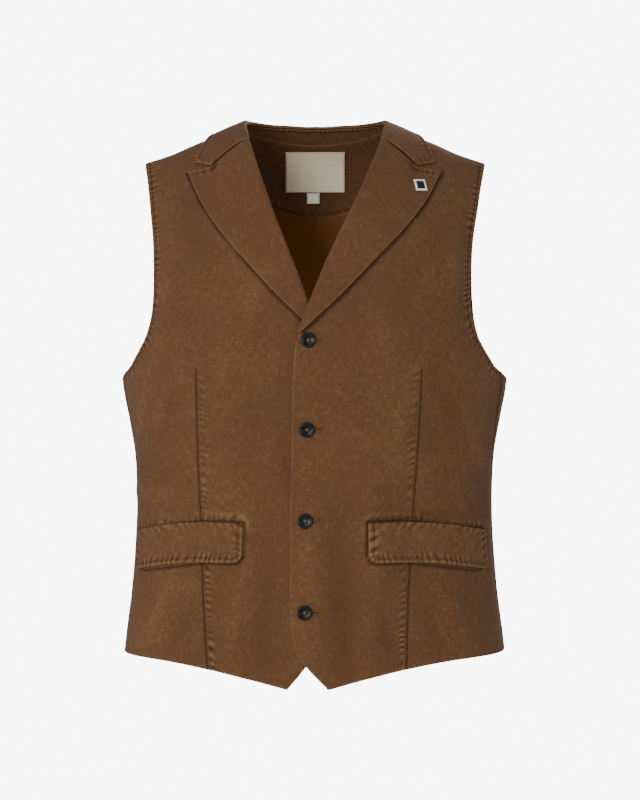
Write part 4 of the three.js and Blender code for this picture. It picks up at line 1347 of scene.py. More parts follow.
@dataclass
class Workroom:
    """What every piece needs: the body form, the cut and the finishes."""

    form: BodyForm
    cut: Cut
    finishes: Finishes

    def girth(self, stations: Iterable[Sequence[float]]) -> list[list[float]]:
        """Map points of girth share and height, from distances and heights."""
        return [[float(self.form.girth_of(x, z)), z] for x, z in stations]

    def shoulder(self, face: Face, x: float) -> tuple[float, float]:
        """A station of the shoulder seam."""
        return x, float(self.form.shoulder_height(face, x, self.cut.seam_gap / 2))

    def side_seam(self, face: Face, steps: int = 6) -> list[list[float]]:
        """Map points up the side seam, from the hem to the underarm."""
        heights = np.linspace(self.cut.side_hem_z, self.cut.underarm_z, steps + 1)
        return [[float(self.form.seam_girth(face, z, self.cut.seam_gap)), z] for z in heights]


@dataclass
class Forepart:
    """One front: its long dart, its armhole and the sewing over its pocket."""

    room: Workroom
    side: Side
    neck_seam_x: float = 79.8
    neck_seam_y: float = -22
    dart: tuple[Drop, ...] = (Drop(105, -590), Drop(112.5, -420), Drop(117.5, -330), Drop(121, -225))
    dart_top: float = -247
    armhole_gauge: float = 6
    dart_gauge: float = 3.6
    side_line: tuple[Drop, ...] = table_of(
        Drop,
        (6.2, -250), (4.2, -290), (2.4, -318), (1.1, -348), (0.6, -400), (0.5, -480), (0.5, -560),
    )
    width: float = 262
    lower_height: float = 345
    upper_height: float = 250
    fine: float = 0.6
    coarse: tuple[float, float] = (2.8, 1.75)
    bag_rise: float = 10
    bag_reach: float = 52
    bag_round: float = 13
    bag_middle: Drop = Drop(8, -3)
    bag_turn: tuple[float, float] = (90, 200)
    bag_bend: float = 20
    flap_sewn: float = 3.4
    lapel_beyond: Drop = Drop(1.4, -0.6)
    flap_beyond: tuple[float, float, float] = (1.2, 0.6, 1.0)
    flap_soft: tuple[float, float] = (2.6, 1.3)
    lapel_soft: tuple[float, float] = (2.6, 1.6)
    tried: tuple[float, float] = (0.2, 0.8)
    rough: float = 0.3
    seeds: tuple[int, int] = (3, 8)

    def grids(self) -> tuple[Spots, Spots]:
        """The grids below and above the chest, with columns that follow the dart."""
        room, cut, form = self.room, self.room.cut, self.room.form
        place = form.by_girth(Face.FRONT, self.side)
        armhole = room.girth((row.front, row.z) for row in cut.armhole)
        corner = room.girth([(cut.armhole_bottom.front, cut.armhole_bottom.z)])[0]
        side_seam = room.side_seam(Face.FRONT)
        hem = room.girth((cut.hem_point, *cut.front_hem))
        chest = Edge([*room.girth([cut.break_point]), armhole[0]], place)
        lower = Patch(
            bottom=Edge([*hem, side_seam[0]], place),
            top=joined(chest, Edge([armhole[0], corner, side_seam[-1]], place), cut.chest_at),
            left=Edge(room.girth(cut.front_edge), place),
            right=Edge(side_seam, place),
        )
        seam_xs = np.linspace(cut.neck_point, cut.shoulder_tip, num=15)
        shoulder = room.girth(room.shoulder(Face.FRONT, x) for x in seam_xs)
        neck_z = float(form.shoulder_height(Face.FRONT, self.neck_seam_x, self.neck_seam_y))
        roll = room.girth([*cut.roll_line, (self.neck_seam_x, neck_z)])
        upper = Patch(
            bottom=chest,
            top=Edge(shoulder, place),
            left=Edge([*roll, shoulder[0]], place),
            right=Edge([*armhole, shoulder[-1]], place),
        )
        dart_at = self.dart_share(chest)
        dart_mark, chest_mark = dart_at * self.width, cut.chest_at * self.width
        marks = [dart_mark - self.dart_gauge, dart_mark, chest_mark - self.armhole_gauge, chest_mark]
        columns = fitted(self.width, marks, self.fine, self.coarse[0])
        under, dart_column = nearest_column(columns, cut.chest_at), nearest_column(columns, dart_at)
        rows = fitted(self.lower_height, [], self.fine, self.coarse[1])
        low = lower.inside(self.warped(lower, columns, rows, dart_column), rows)
        rows_up = fitted(self.upper_height, [], self.fine, self.coarse[1])
        high = upper.inside(columns[: under + 1] / columns[under], rows_up)
        self.dart_points, self.under = place(low[:, dart_column]), under
        return spots_on(place, low, form.core), spots_on(place, high, form.core)

    def line(self, xs: np.ndarray, zs: np.ndarray) -> Seamline:
        """A line on the front through distances from the middle and heights."""
        return Seamline(self.room.form.point(Face.FRONT, self.side, xs, zs))

    def dart_share(self, chest: Curve) -> float:
        """Share of the lower part's width at which the dart meets the chest line."""
        shares = np.linspace(0, 1, num=200)
        points = chest(shares)
        reached = self.room.form.at_girth(points[:, 0], points[:, 1])
        return float(np.interp(self.dart[-1].x, reached, shares)) * self.room.cut.chest_at

    def warped(self, patch: Patch, columns: np.ndarray, rows: np.ndarray, dart_column: int) -> np.ndarray:
        """Shares across for each row, with one column bent to run down the dart."""
        line = smooth(self.dart, "z", "x")
        tries = np.linspace(*self.tried, num=121)
        found = patch.inside(tries, rows)
        beyond = self.room.form.at_girth(found[..., 0], found[..., 1]) - line(found[..., 1])
        dart_at = columns[dart_column]
        shift = np.array([np.interp(0, row, tries) for row in beyond]) - dart_at
        shift[-1] = 0
        near = np.where(columns <= dart_at, ease(columns / dart_at), ease((1 - columns) / (1 - dart_at)))
        return columns[None, :] + shift[:, None] * near[None, :]

    def flap_line(self, rise: float, start: float, end: float) -> Seamline:
        """A line above the pocket flap, between two distances from the middle."""
        xs = np.linspace(start, end, num=40)
        share = (xs - FLAP.inner) / (FLAP.outer - FLAP.inner)
        return self.line(xs, FLAP.top(np.clip(share, 0, 1)) + rise)

    def bag_line(self) -> Seamline:
        """The outline of the pocket's inside facing: above the flap, and round its inner end."""
        top = FLAP.top(np.array([0.0]))[0]
        turn = np.radians(np.linspace(*self.bag_turn, num=14))
        round_xs = FLAP.inner + self.bag_middle.x + self.bag_round * np.cos(turn)
        height = self.bag_rise - self.bag_middle.z
        xs = np.concatenate([[FLAP.inner + self.bag_reach, FLAP.inner + self.bag_bend], round_xs])
        zs = np.concatenate([[top + self.bag_rise] * 2, top + self.bag_middle.z + height * np.sin(turn)])
        return self.line(xs, zs)

    def side_seam_line(self) -> Seamline:
        """The side seam as it shows: forward of the side below the underarm, and close to it lower down."""
        zs = np.linspace(self.side_line[0].z, self.side_line[-1].z, num=60)
        return self.line(self.room.form.half(zs) - smooth(self.side_line[::-1], "z", "x")(zs), zs)

    def lapel_line(self) -> Seamline:
        """The line just beyond the lapel's outer edge, which presses into the front."""
        xs, zs = np.array(self.room.cut.lapel_edge).T
        return self.line(xs + self.lapel_beyond.x, zs + self.lapel_beyond.z)

    def flap_outline(self) -> Seamline:
        """The line just beyond the flap's sides and bottom."""
        share = np.linspace(0, 1, num=30)
        inner, outer, below = self.flap_beyond
        xs = mix(FLAP.inner - inner, FLAP.outer + outer, share)
        low = FLAP.bottom(share) + FLAP.rounding(share) - below
        ends = [(xs[0], float(FLAP.top(share[0]))), (xs[-1], float(FLAP.top(share[-1])))]
        return self.line(*np.array([ends[0], *zip(xs, low), ends[1]]).T)

    def build(self) -> Shell:
        """Makes the cloth with its sewing."""
        low, high = self.grids()
        seed = self.side.of(self.seeds)
        armhole = Seamline(np.concatenate([low.at[-1, self.under :][::-1], high.at[:, -1]]))
        dart = Seamline(self.dart_points[self.dart_points[:, 2] < self.dart_top])
        beside = Seamline(dart.points - np.array([self.side.value * self.dart_gauge, 0, 0]))
        flap_seam = self.flap_line(self.flap_sewn, FLAP.inner + 1, FLAP.outer - 2)
        flap_top = self.flap_line(0.8, FLAP.inner, FLAP.outer)
        side_line = self.side_seam_line()
        shades: list[Relief] = [
            Pucker(armhole, self.armhole_gauge, depth=0.5, pitch=6.4, reach=6, slant=0.2, seed=seed),
            Pucker(
                beside, depth=0.8, pitch=7.6, reach=5, slant=0.5, side=-1, dip=0.3, fade=0.6, seed=seed + 1
            ),
            Pucker(flap_seam, depth=0.42, pitch=8, reach=5, slant=0.3, dip=0.25, seed=seed + 2),
            # The grooves of the dart and the side seam are painted darker, a painted shade in each groove;
            # the bag line is painted paler, a painted highlight; and the grooves above the flap, round it
            # and beyond the lapel's edge are painted darker as the painted shadows of the flap and the
            # lapel.
            Ridge(dart, height=-1.1, width=0.9),
            Ridge(side_line, height=-1.1, width=1.9),
            Ridge(self.bag_line(), height=0.2, width=1.6),
            Ridge(flap_top, height=-1.2, width=self.side.of(self.flap_soft)),
            Ridge(self.lapel_line(), height=-0.9, width=self.side.of(self.lapel_soft)),
            Ridge(self.flap_outline(), height=-0.75, width=1.2),
        ]
        # The buttonhole slots sink into the front and are painted darker there, a painted shade in each
        # slit.
        if self.side is Side.LEFT:
            shades.append(SLOTS.sunk(self.room.form.shift))
        shell = Shell(
            f"front_{self.side.word}",
            "cloth",
            (low, high),
            self.room.cut.cloth,
            self.room.finishes.cloth,
            reliefs=[self.room.form.creased(Face.FRONT, self.rough, seed)],
            shades=shades,
            seamed=True,
            edge_wear_and_highlight=0.3,
        )
        shell.build()
        topstitched = (armhole.beside(shell.surface, self.armhole_gauge), beside, flap_seam, side_line)
        stitches = shell.stitched(self.room.finishes.thread, topstitched, close=(dart, flap_top))
        shell.declare()
        return shell


@dataclass(frozen=True)
class FlapRow:
    """The flap's top and bottom at a share of its length."""

    share: float
    top: float
    bottom: float


@dataclass(frozen=True)
class FlapShape:
    """Place and outline of both pocket flaps."""

    inner: float = 66.5
    outer: float = 186.5
    length: float = 135
    corner: float = 9
    flare: float = 1.2
    rows: tuple[FlapRow, ...] = table_of(
        FlapRow,
        (0, -410.5, -453), (0.35, -410, -453), (0.7, -415, -458), (1, -420.5, -463.5),
    )

    def top(self, share: np.ndarray) -> np.ndarray:
        """Height of the top at shares of the length."""
        return smooth(self.rows, "share", "top")(share)

    def bottom(self, share: np.ndarray) -> np.ndarray:
        """Height of the bottom at shares of the length, before its corners are rounded."""
        return smooth(self.rows, "share", "bottom")(share)

    def rounding(self, share: np.ndarray) -> np.ndarray:
        """How far the round corners lift the bottom at shares of the length."""
        short = np.maximum(self.corner - np.minimum(share, 1 - share) * self.length, 0)
        return self.corner - np.sqrt(self.corner**2 - short**2)


FLAP = FlapShape()


@dataclass
class PocketFlap:
    """A pocket flap, sewn along its top and topstitched round the rest."""

    room: Workroom
    side: Side
    gauge: float = 5
    height: float = 42
    rough: float = 0.7
    turn_columns: int = 3
    steps_across: tuple[float, float] = (0.35, 1.5)
    steps_up: tuple[float, float] = (0.4, 1.4)
    seeds: tuple[int, int] = (21, 34)

    def build(self) -> Shell:
        """Makes the flap with its stitches."""
        form, cut = self.room.form, self.room.cut
        place = form.by_girth(Face.FRONT, self.side)
        middle_z = float(FLAP.top(np.array(0.5)))
        ends = [float(form.girth_of(x, middle_z)) for x in (FLAP.inner, FLAP.outer)]
        us, vs = fitted(FLAP.length, [], *self.steps_across), fitted(self.height, [], *self.steps_up)
        low, high = FLAP.bottom(us) + FLAP.rounding(us), FLAP.top(us)
        heights = mix(low[None, :], high[None, :], vs[:, None])
        girths = np.broadcast_to(mix(ends[0], ends[1], us), heights.shape)
        grid = spots_of(place(np.stack([girths, heights], -1)), form.core)
        stand_off = cut.flap + cut.laid_gap + FLAP.flare * (1 - vs[:, None]) ** 2
        grid = grid.moved(stand_off)
        border = Seamline(np.concatenate([grid.at[::-1, 0], grid.at[0, 1:], grid.at[1:, -1]]))
        top = Seamline(grid.at[-1])
        seed = self.side.of(self.seeds)
        shell = Shell(
            f"flap_{self.side.word}",
            "cloth",
            (grid,),
            cut.flap,
            self.room.finishes.cloth,
            reliefs=[form.creased(Face.FRONT, self.rough, seed)],
            shades=[
                Pucker(border, self.gauge, depth=0.55, pitch=7, reach=4.6, slant=0.3, seed=seed),
                Pucker(top, depth=0.3, pitch=11, reach=6.5, slant=0.9, dip=0.3, seed=seed + 1),
            ],
            # The whole flap is painted a little paler, a painted highlight where it stands out from the
            # front.
            base_painted_highlight=0.08,
        )
        shell.build()
        stitches = shell.stitched(self.room.finishes.thread, [self.inset(grid)])
        shell.declare()
        return shell

    def inset(self, grid: Spots) -> Seamline:
        """The stitch line inside the flap's sides and bottom."""
        rows, columns = grid.at.shape[:2]
        across, up = walked(grid.at[rows // 2]), walked(grid.at[:, columns // 2])
        near = [nearest_column(across, gauge) for gauge in (self.gauge, across[-1] - self.gauge)]
        low, turn = nearest_column(up, self.gauge), self.turn_columns
        left = grid.at[low + turn : -1, near[0]][::-1]
        right = grid.at[low + turn : -1, near[1]]
        base = grid.at[low, near[0] + turn : near[1] - turn + 1]
        return Seamline(np.concatenate([left, base, right]))


@dataclass
class Lapel:
    """A peak lapel, rolled back from the front edge."""

    room: Workroom
    side: Side
    notch_at: float = 0.64
    roll_air: float = 1.2
    break_air: float = 0.4
    turn: float = -30
    turn_end: float = 66
    turn_steps: int = 10
    gauge: float = 5
    width: float = 66
    height: float = 235
    steps_across: tuple[float, float] = (0.5, 2.4)
    steps_up: tuple[float, float] = (0.5, 1.9)
    air_rise: float = 3
    air_fall: float = 1.5
    rough: float = 0.1
    seeds: tuple[int, int] = (45, 52)

    def build(self) -> Shell:
        """Makes the lapel with its fold and the stitches along its top edge."""
        form, cut = self.room.form, self.room.cut
        place = form.by_distance(Face.FRONT, self.side)
        lowered = [[drop.x, drop.z - cut.seam_gap] for drop in (cut.gorge, cut.notch)]
        roll, edge = cut.roll_line[:-1], cut.lapel_edge
        patch = Patch(
            bottom=Edge([roll[0], edge[0]], place),
            top=joined(Edge(lowered, place), Edge([lowered[1], edge[-1]], place), self.notch_at),
            left=Edge([*roll, lowered[0]], place),
            right=Edge(edge, place),
        )
        us = fitted(self.width, [self.width * self.notch_at], *self.steps_across)
        vs = fitted(self.height, [], *self.steps_up)
        base = spots_on(place, patch.inside(us, vs), form.core)
        air = mix(self.break_air, self.roll_air, ease(vs * self.air_rise))[:, None]
        off = mix(air, np.minimum(air, cut.laid_gap), ease(us * self.air_fall)[None, :])
        leaf = base.moved(cut.leaf + off)
        radius = cut.leaf + air[:, 0] + cut.cloth / 2
        reach = np.full(len(vs), float(self.turn))
        grid = with_fold(leaf, radius, reach, self.turn_end, self.turn_steps, form.core)
        notch_column = self.turn_steps + 1 + nearest_column(us, self.notch_at)
        top = Seamline(grid.at[-1, notch_column:])
        seed = self.side.of(self.seeds)
        shell = Shell(
            f"lapel_{self.side.word}",
            "cloth",
            (grid,),
            cut.leaf,
            self.room.finishes.cloth,
            reliefs=[form.creased(Face.FRONT, self.rough, seed)],
            shades=[Pucker(top, self.gauge, depth=0.38, pitch=6, reach=5, slant=0.2, dip=0.3, seed=seed)],
            edge_wear_and_highlight=0.4,
        )
        shell.build()
        sewn = [top.beside(shell.surface, self.gauge)]
        stitches = shell.stitched(self.room.finishes.thread, sewn)
        shell.declare()
        return shell


@dataclass
class Collar:
    """The top collar and its stand, round the back of the neck from gorge to gorge."""

    room: Workroom
    rows: tuple[CollarRow, ...] = table_of(
        CollarRow,
        (79.8, -22, 119, -20, 2, 19), (82, 0, 114, 0, 3.5, 28), (79, 26, 109.5, 27, 4.5, 29.5),
        (68, 49, 99, 53, 5.5, 29), (48, 67, 72, 79, 6, 28), (24, 77, 37, 93, 6, 27.5),
        (0, 80, 0, 97, 6, 27.3),
    )
    point: Drop = Drop(130, -24)
    neck_centre_y: float = 15
    notch_at: float = 0.72
    front_fade: float = 0.14
    gorge_gap: float = 0.5
    roll_air: float = 1.2
    laid_air: float = 2
    leaf_fade: float = 1.6
    turn_front: float = -85
    turn_back: float = -50
    turn_end: float = 66
    turn_steps: int = 10
    full_rise: float = 16
    row_count: int = 320
    stand_from: float = 6 / 32
    stand_clear: float = 1.4
    stand_height: float = 24
    stand_sewn: float = 0.8
    stand_steps: tuple[float, float] = (0.5, 1.3)
    gauge: float = 5
    width: float = 60
    steps_across: tuple[float, float] = (0.5, 2.2)

    def stations(self) -> list[dict[str, float]]:
        """Rows of the whole collar, with the fold's rise over the shoulders."""
        form, cut = self.room.form, self.room.cut
        gorge_y, point_y = (
            float(form.point(Face.FRONT, Side.LEFT, at.x, at.z)[1]) for at in (cut.gorge, self.point)
        )
        start = CollarRow(cut.gorge.x, gorge_y, self.point.x, point_y, 0, 0)
        half = []
        for row in (start, *self.rows):
            seam_z = float(form.over_shoulder(np.array([row.x, row.y]))[2])
            rise = max(row.fold - cut.leaf - self.roll_air - seam_z, 0)
            places = {"x": row.x, "y": row.y, "ex": row.edge_x, "ey": row.edge_y}
            half.append({**places, "inset": row.inset, "rise": rise})
        mirrored = [{**row, "x": -row["x"], "ex": -row["ex"]} for row in reversed(half[:-1])]
        return half + mirrored

    def build(self) -> tuple[Shell, Shell]:
        """Makes the collar and the stand under its fold."""
        form, cut = self.room.form, self.room.cut
        whole = self.stations()
        over = form.over_shoulder
        neck = Edge([[row["x"], row["y"]] for row in whole], over)
        outer = Edge([[row["ex"], row["ey"]] for row in whole], over)
        gorge = np.array([whole[0]["x"], whole[0]["y"]])
        notch_y = float(form.point(Face.FRONT, Side.LEFT, cut.notch.x, cut.notch.z)[1])
        point = np.array([whole[0]["ex"], whole[0]["ey"]])
        notch = [cut.notch.x, notch_y]
        front = joined(Edge([gorge, notch], over), Edge([notch, point], over), self.notch_at)
        us = fitted(self.width, [self.width * self.notch_at], *self.steps_across)
        vs = np.linspace(0, 1, self.row_count + 1)
        straight = mix(gorge, point, us[:, None]) - np.array([0, self.gorge_gap])
        bend = front(us) - straight
        fades = [(1 - np.clip(v / self.front_fade, 0, 1)) ** 2 for v in (vs, 1 - vs)]
        seen = mix(neck(vs)[:, None], outer(vs)[:, None], us[None, :, None])
        near = bend[None] * fades[0][:, None, None]
        far = bend[None] * fades[1][:, None, None] * np.array([-1, 1])
        base = spots_of(over(seen + near + far), form.core)
        laid = base.moved(cut.leaf + mix(self.roll_air, self.laid_air, ease(us * 2))[None, :])
        share_at = walked(over(np.array([[row["x"], row["y"]] for row in whole])))
        share_at = share_at / share_at[-1]
        inset = hermite(share_at, [row["inset"] for row in whole])(vs)
        rise = hermite(share_at, [row["rise"] for row in whole])(vs)
        first = laid.at[:, 0]
        towards = unit(np.stack([first[:, 0], first[:, 1] - self.neck_centre_y, 0 * vs], -1))
        fade = ((1 - us) ** self.leaf_fade)[None, :, None]
        lifted = laid.at - towards[:, None] * inset[:, None, None] * fade
        lifted = lifted + UP * rise[:, None, None] * fade
        full = np.clip(rise / self.full_rise, 0, 1)
        reach = mix(self.turn_front, self.turn_back, full)
        radius = np.full(len(vs), cut.leaf + cut.cloth / 2 + self.roll_air)
        leaf = spots_of(lifted, form.core)
        grid = with_fold(leaf, radius, reach, self.turn_end, self.turn_steps, form.core)
        return self.leaf_shell(grid, us), self.stand_shell(grid, neck, vs)

    def leaf_shell(self, grid: Spots, us: np.ndarray) -> Shell:
        """The collar's cloth, with puckered topstitching along its free edges."""
        gorge_column = self.turn_steps + 1 + nearest_column(us, self.notch_at)
        free_rows = (grid.at[0, gorge_column:], grid.at[:, -1], grid.at[-1, gorge_column:])
        edges = [Seamline(row) for row in free_rows]
        free = Seamline(np.concatenate([edges[0].points, edges[1].points, edges[2].points[::-1]]))
        shell = Shell(
            "collar",
            "cloth",
            (grid,),
            self.room.cut.leaf,
            self.room.finishes.cloth,
            shades=[Pucker(free, self.gauge, depth=0.38, pitch=6.2, reach=5, slant=0.2, dip=0.3, seed=61)],
            edge_wear_and_highlight=0.4,
        )
        shell.build()
        sewn = [edge.beside(shell.surface, self.gauge) for edge in edges]
        stitches = shell.stitched(self.room.finishes.thread, sewn)
        shell.declare()
        return shell

    def stand_shell(self, collar: Spots, neck: Curve, vs: np.ndarray) -> Shell:
        """The stand, between the neck seam and the end of the collar's fold."""
        form, cut = self.room.form, self.room.cut
        seam = form.over_shoulder(neck(vs))
        along = unit(np.gradient(seam, axis=0))
        beyond = form.over_shoulder(
            np.stack([seam[:, 0] + np.where(seam[:, 0] < 0, -1.0, 1.0), seam[:, 1] + 1], -1)
        )
        out = unit(np.cross(along, beyond - seam))
        out = np.where(np.sum(out * (seam - np.array(form.core)), -1, keepdims=True) < 0, -out, out)
        end, before = collar.at[:, 0], collar.at[:, 1]
        head = end + unit(end - before) * self.stand_clear
        across = unit(np.cross(out, along))
        across = np.where(np.sum(across * (head - seam), -1, keepdims=True) < 0, -across, across)
        foot = seam - out * (cut.cloth + cut.leaf) / 2
        upright = unit(np.cross(along, head - foot))
        lean = np.abs(np.sum(upright * across, -1, keepdims=True))
        foot = foot + across * (self.stand_clear + cut.leaf * lean)
        keep = (vs >= self.stand_from - TINY) & (vs <= 1 - self.stand_from + TINY)
        ts = fitted(self.stand_height, [], *self.stand_steps)
        points = mix(foot[keep][:, None], head[keep][:, None], ts[None, :, None])
        grid = spots_of(points, form.core).moved(cut.leaf)
        sewn = Seamline(grid.at[:, int(len(ts) * self.stand_sewn)])
        shell = Shell(
            "collar_stand",
            "facing",
            (grid,),
            cut.leaf,
            self.room.finishes.facing,
            shades=[Pucker(sewn, depth=0.35, pitch=5.4, reach=5, slant=1.1, dip=0.5, seed=70)],
        )
        shell.build()
        shell.declare()
        return shell


@dataclass
class BackHalf:
    """Half of the back with the lining inside it."""

    room: Workroom
    side: Side
    armhole_gauge: float = 6
    neck: tuple[Seen, ...] = (Seen(79, 26), Seen(68, 49), Seen(48, 67), Seen(24, 77), Seen(0, 80))
    waist_z: float = -400
    fine: tuple[float, float] = (0.7, 3.2)
    lining_fine: tuple[float, float] = (2.0, 5.0)
    armhole_step: float = 2.2
    chest_width: float = 190
    underarm_width: float = 52
    armhole_length: float = 330
    heights: tuple[float, float, float] = (315, 120, 70)
    lining_hem: float = 9.6
    lining_end: float = 1.2
    hem_step: float = 1.5
    arc_span: tuple[float, float] = (20, 100)
    rough: float = 0.25
    seeds: tuple[int, int] = (82, 91)

    def grids(self, fine: float, coarse: float) -> tuple[Spots, Spots, Spots]:
        """The grids below the chest, from the facing's arc outward, and from the arc to the neck.

        Args:
            fine: Step of the grid at its edges.
            coarse: The widest step.
        Returns:
            The lower, middle and upper grids.
        """
        room, cut, form = self.room, self.room.cut, self.room.form
        place = form.by_girth(Face.BACK, self.side)
        half_gap = cut.seam_gap / 2
        armhole = room.girth((row.back, row.z) for row in cut.armhole)
        corner = room.girth([(cut.armhole_bottom.back, cut.armhole_bottom.z)])[0]
        side_seam = room.side_seam(Face.BACK)
        neck_seam = []
        for seen in self.neck:
            x = max(seen.x, half_gap)
            neck_seam.append((x, float(form.shoulder_height(Face.BACK, x, seen.y))))
        arc = [(float(x), cut.arc_z(float(x))) for x in np.linspace(*self.arc_span, num=6)]
        arc_z = cut.arc_z(0)
        facing_end = room.girth([room.shoulder(Face.BACK, cut.facing_half)])[0]

        def centre(heights: Iterable[float]) -> list[list[float]]:
            """Map points down the centre back."""
            return room.girth((half_gap, float(z)) for z in heights)

        def shoulder(start: float, end: float, steps: int) -> list[list[float]]:
            """Map points along the shoulder seam."""
            return room.girth(room.shoulder(Face.BACK, float(x)) for x in np.linspace(start, end, steps + 1))

        chest = Edge([*centre([cut.chest_z]), armhole[0]], place)
        arc_edge = Edge([*centre([arc_z]), *room.girth(arc), facing_end], place)
        tip = shoulder(cut.facing_half, cut.shoulder_tip, 10)
        low = Patch(
            bottom=Edge([*centre([cut.back_hem_z]), side_seam[0]], place),
            top=joined(chest, Edge([armhole[0], corner, side_seam[-1]], place), cut.chest_at),
            left=Edge(centre([cut.back_hem_z, self.waist_z, cut.chest_z]), place),
            right=Edge(side_seam, place),
        )
        middle = Patch(
            bottom=arc_edge,
            top=joined(chest, Edge([*armhole, tip[-1]], place), cut.armhole_at),
            left=Edge(centre(np.linspace(arc_z, cut.chest_z, num=5)), place),
            right=Edge(tip, place),
        )
        to_neck = shoulder(cut.facing_half, cut.neck_point, 6)
        high = Patch(
            bottom=arc_edge,
            top=Edge([*room.girth(reversed(neck_seam)), to_neck[-1]], place),
            left=Edge(centre(np.linspace(arc_z, neck_seam[-1][1], num=5)), place),
            right=Edge(to_neck, place),
        )
        chest_columns = fitted(self.chest_width, [], fine, coarse)
        beside = fitted(self.underarm_width, [], fine, coarse)
        columns = np.concatenate([chest_columns * cut.chest_at, mix(cut.chest_at, 1, beside[1:])])
        arm_columns = fitted(self.armhole_length, [], fine, self.armhole_step if fine < 1 else coarse)
        across = np.concatenate([chest_columns * cut.armhole_at, mix(cut.armhole_at, 1, arm_columns[1:])])
        self.bottom_column = len(chest_columns) - 1
        below, between, above = (
            spots_on(place, patch.inside(us, fitted(height, [], fine, coarse)), form.core)
            for patch, us, height in zip((low, middle, high), (columns, across, across), self.heights)
        )
        return below, between, above

    def build(self) -> Shell:
        """Makes the back's cloth and its armhole stitches."""
        low, middle, high = self.grids(*self.fine)
        seed = self.side.of(self.seeds)
        bottom = low.at[-1, self.bottom_column :][::-1]
        armhole = Seamline(np.concatenate([bottom, middle.at[-1, self.bottom_column + 1 :]]))
        centre = Seamline(np.concatenate([low.at[:, 0], middle.at[::-1, 0], high.at[1:, 0]]))
        shell = Shell(
            f"back_{self.side.word}",
            "cloth",
            (low, middle, high),
            self.room.cut.cloth,
            self.room.finishes.cloth,
            reliefs=[self.room.form.creased(Face.BACK, self.rough, seed)],
            shades=[
                Pucker(armhole, self.armhole_gauge, depth=0.4, pitch=6.4, reach=5, slant=0.2, seed=seed),
                Pucker(centre, gauge=2.5, depth=0.26, pitch=8, reach=5, slant=0, dip=0.3, seed=seed + 1),
            ],
            seamed=True,
            edge_wear_and_highlight=0.3,
        )
        shell.build()
        sewn = [armhole.beside(shell.surface, self.armhole_gauge)]
        stitches = shell.stitched(self.room.finishes.thread, sewn)
        shell.declare()
        return shell

    def lining(self) -> Shell:
        """Makes the lining of this half, from the facing's arc to the hem."""
        cut = self.room.cut
        low, middle, _ = self.grids(*self.lining_fine)
        inside = -(cut.cloth + cut.lining_air)
        low = self.drawn_in(low, self.lining_end, self.lining_hem)
        middle = self.drawn_in(middle, self.lining_end, self.lining_end)
        shell = Shell(
            f"lining_{self.side.word}",
            "lining",
            (low.moved(inside), middle.moved(inside)),
            cut.lining,
            self.room.finishes.lining,
            stuff="satin",
            reliefs=[self.room.form.creased(Face.BACK, 0, 1)],
            seamed=True,
            roll=0.5,
            edge_wear_and_highlight=0.0,
        )
        shell.build()
        shell.declare()
        return shell

    def drawn_in(self, grid: Spots, end: float, below: float) -> Spots:
        """A grid drawn in at its last column, and at its first row, with the rows over a deep one."""
        at = grid.at.copy()
        at[:, -1] += unit(at[:, -2] - at[:, -1]) * end
        at[0] += unit(at[1] - at[0]) * below
        steps = int(below / self.hem_step)
        if steps > 1:
            ease_in = (1 - np.arange(steps) / steps)[:, None, None]
            at[1 : steps + 1] += unit(grid.at[2 : steps + 2] - grid.at[1 : steps + 1]) * below * ease_in
        return Spots(at, grid.out)


@dataclass(frozen=True)
class LabelBox:
    """A label's distances from the middle and heights."""

    node: str
    left: float
    right: float
    bottom: float
    top: float


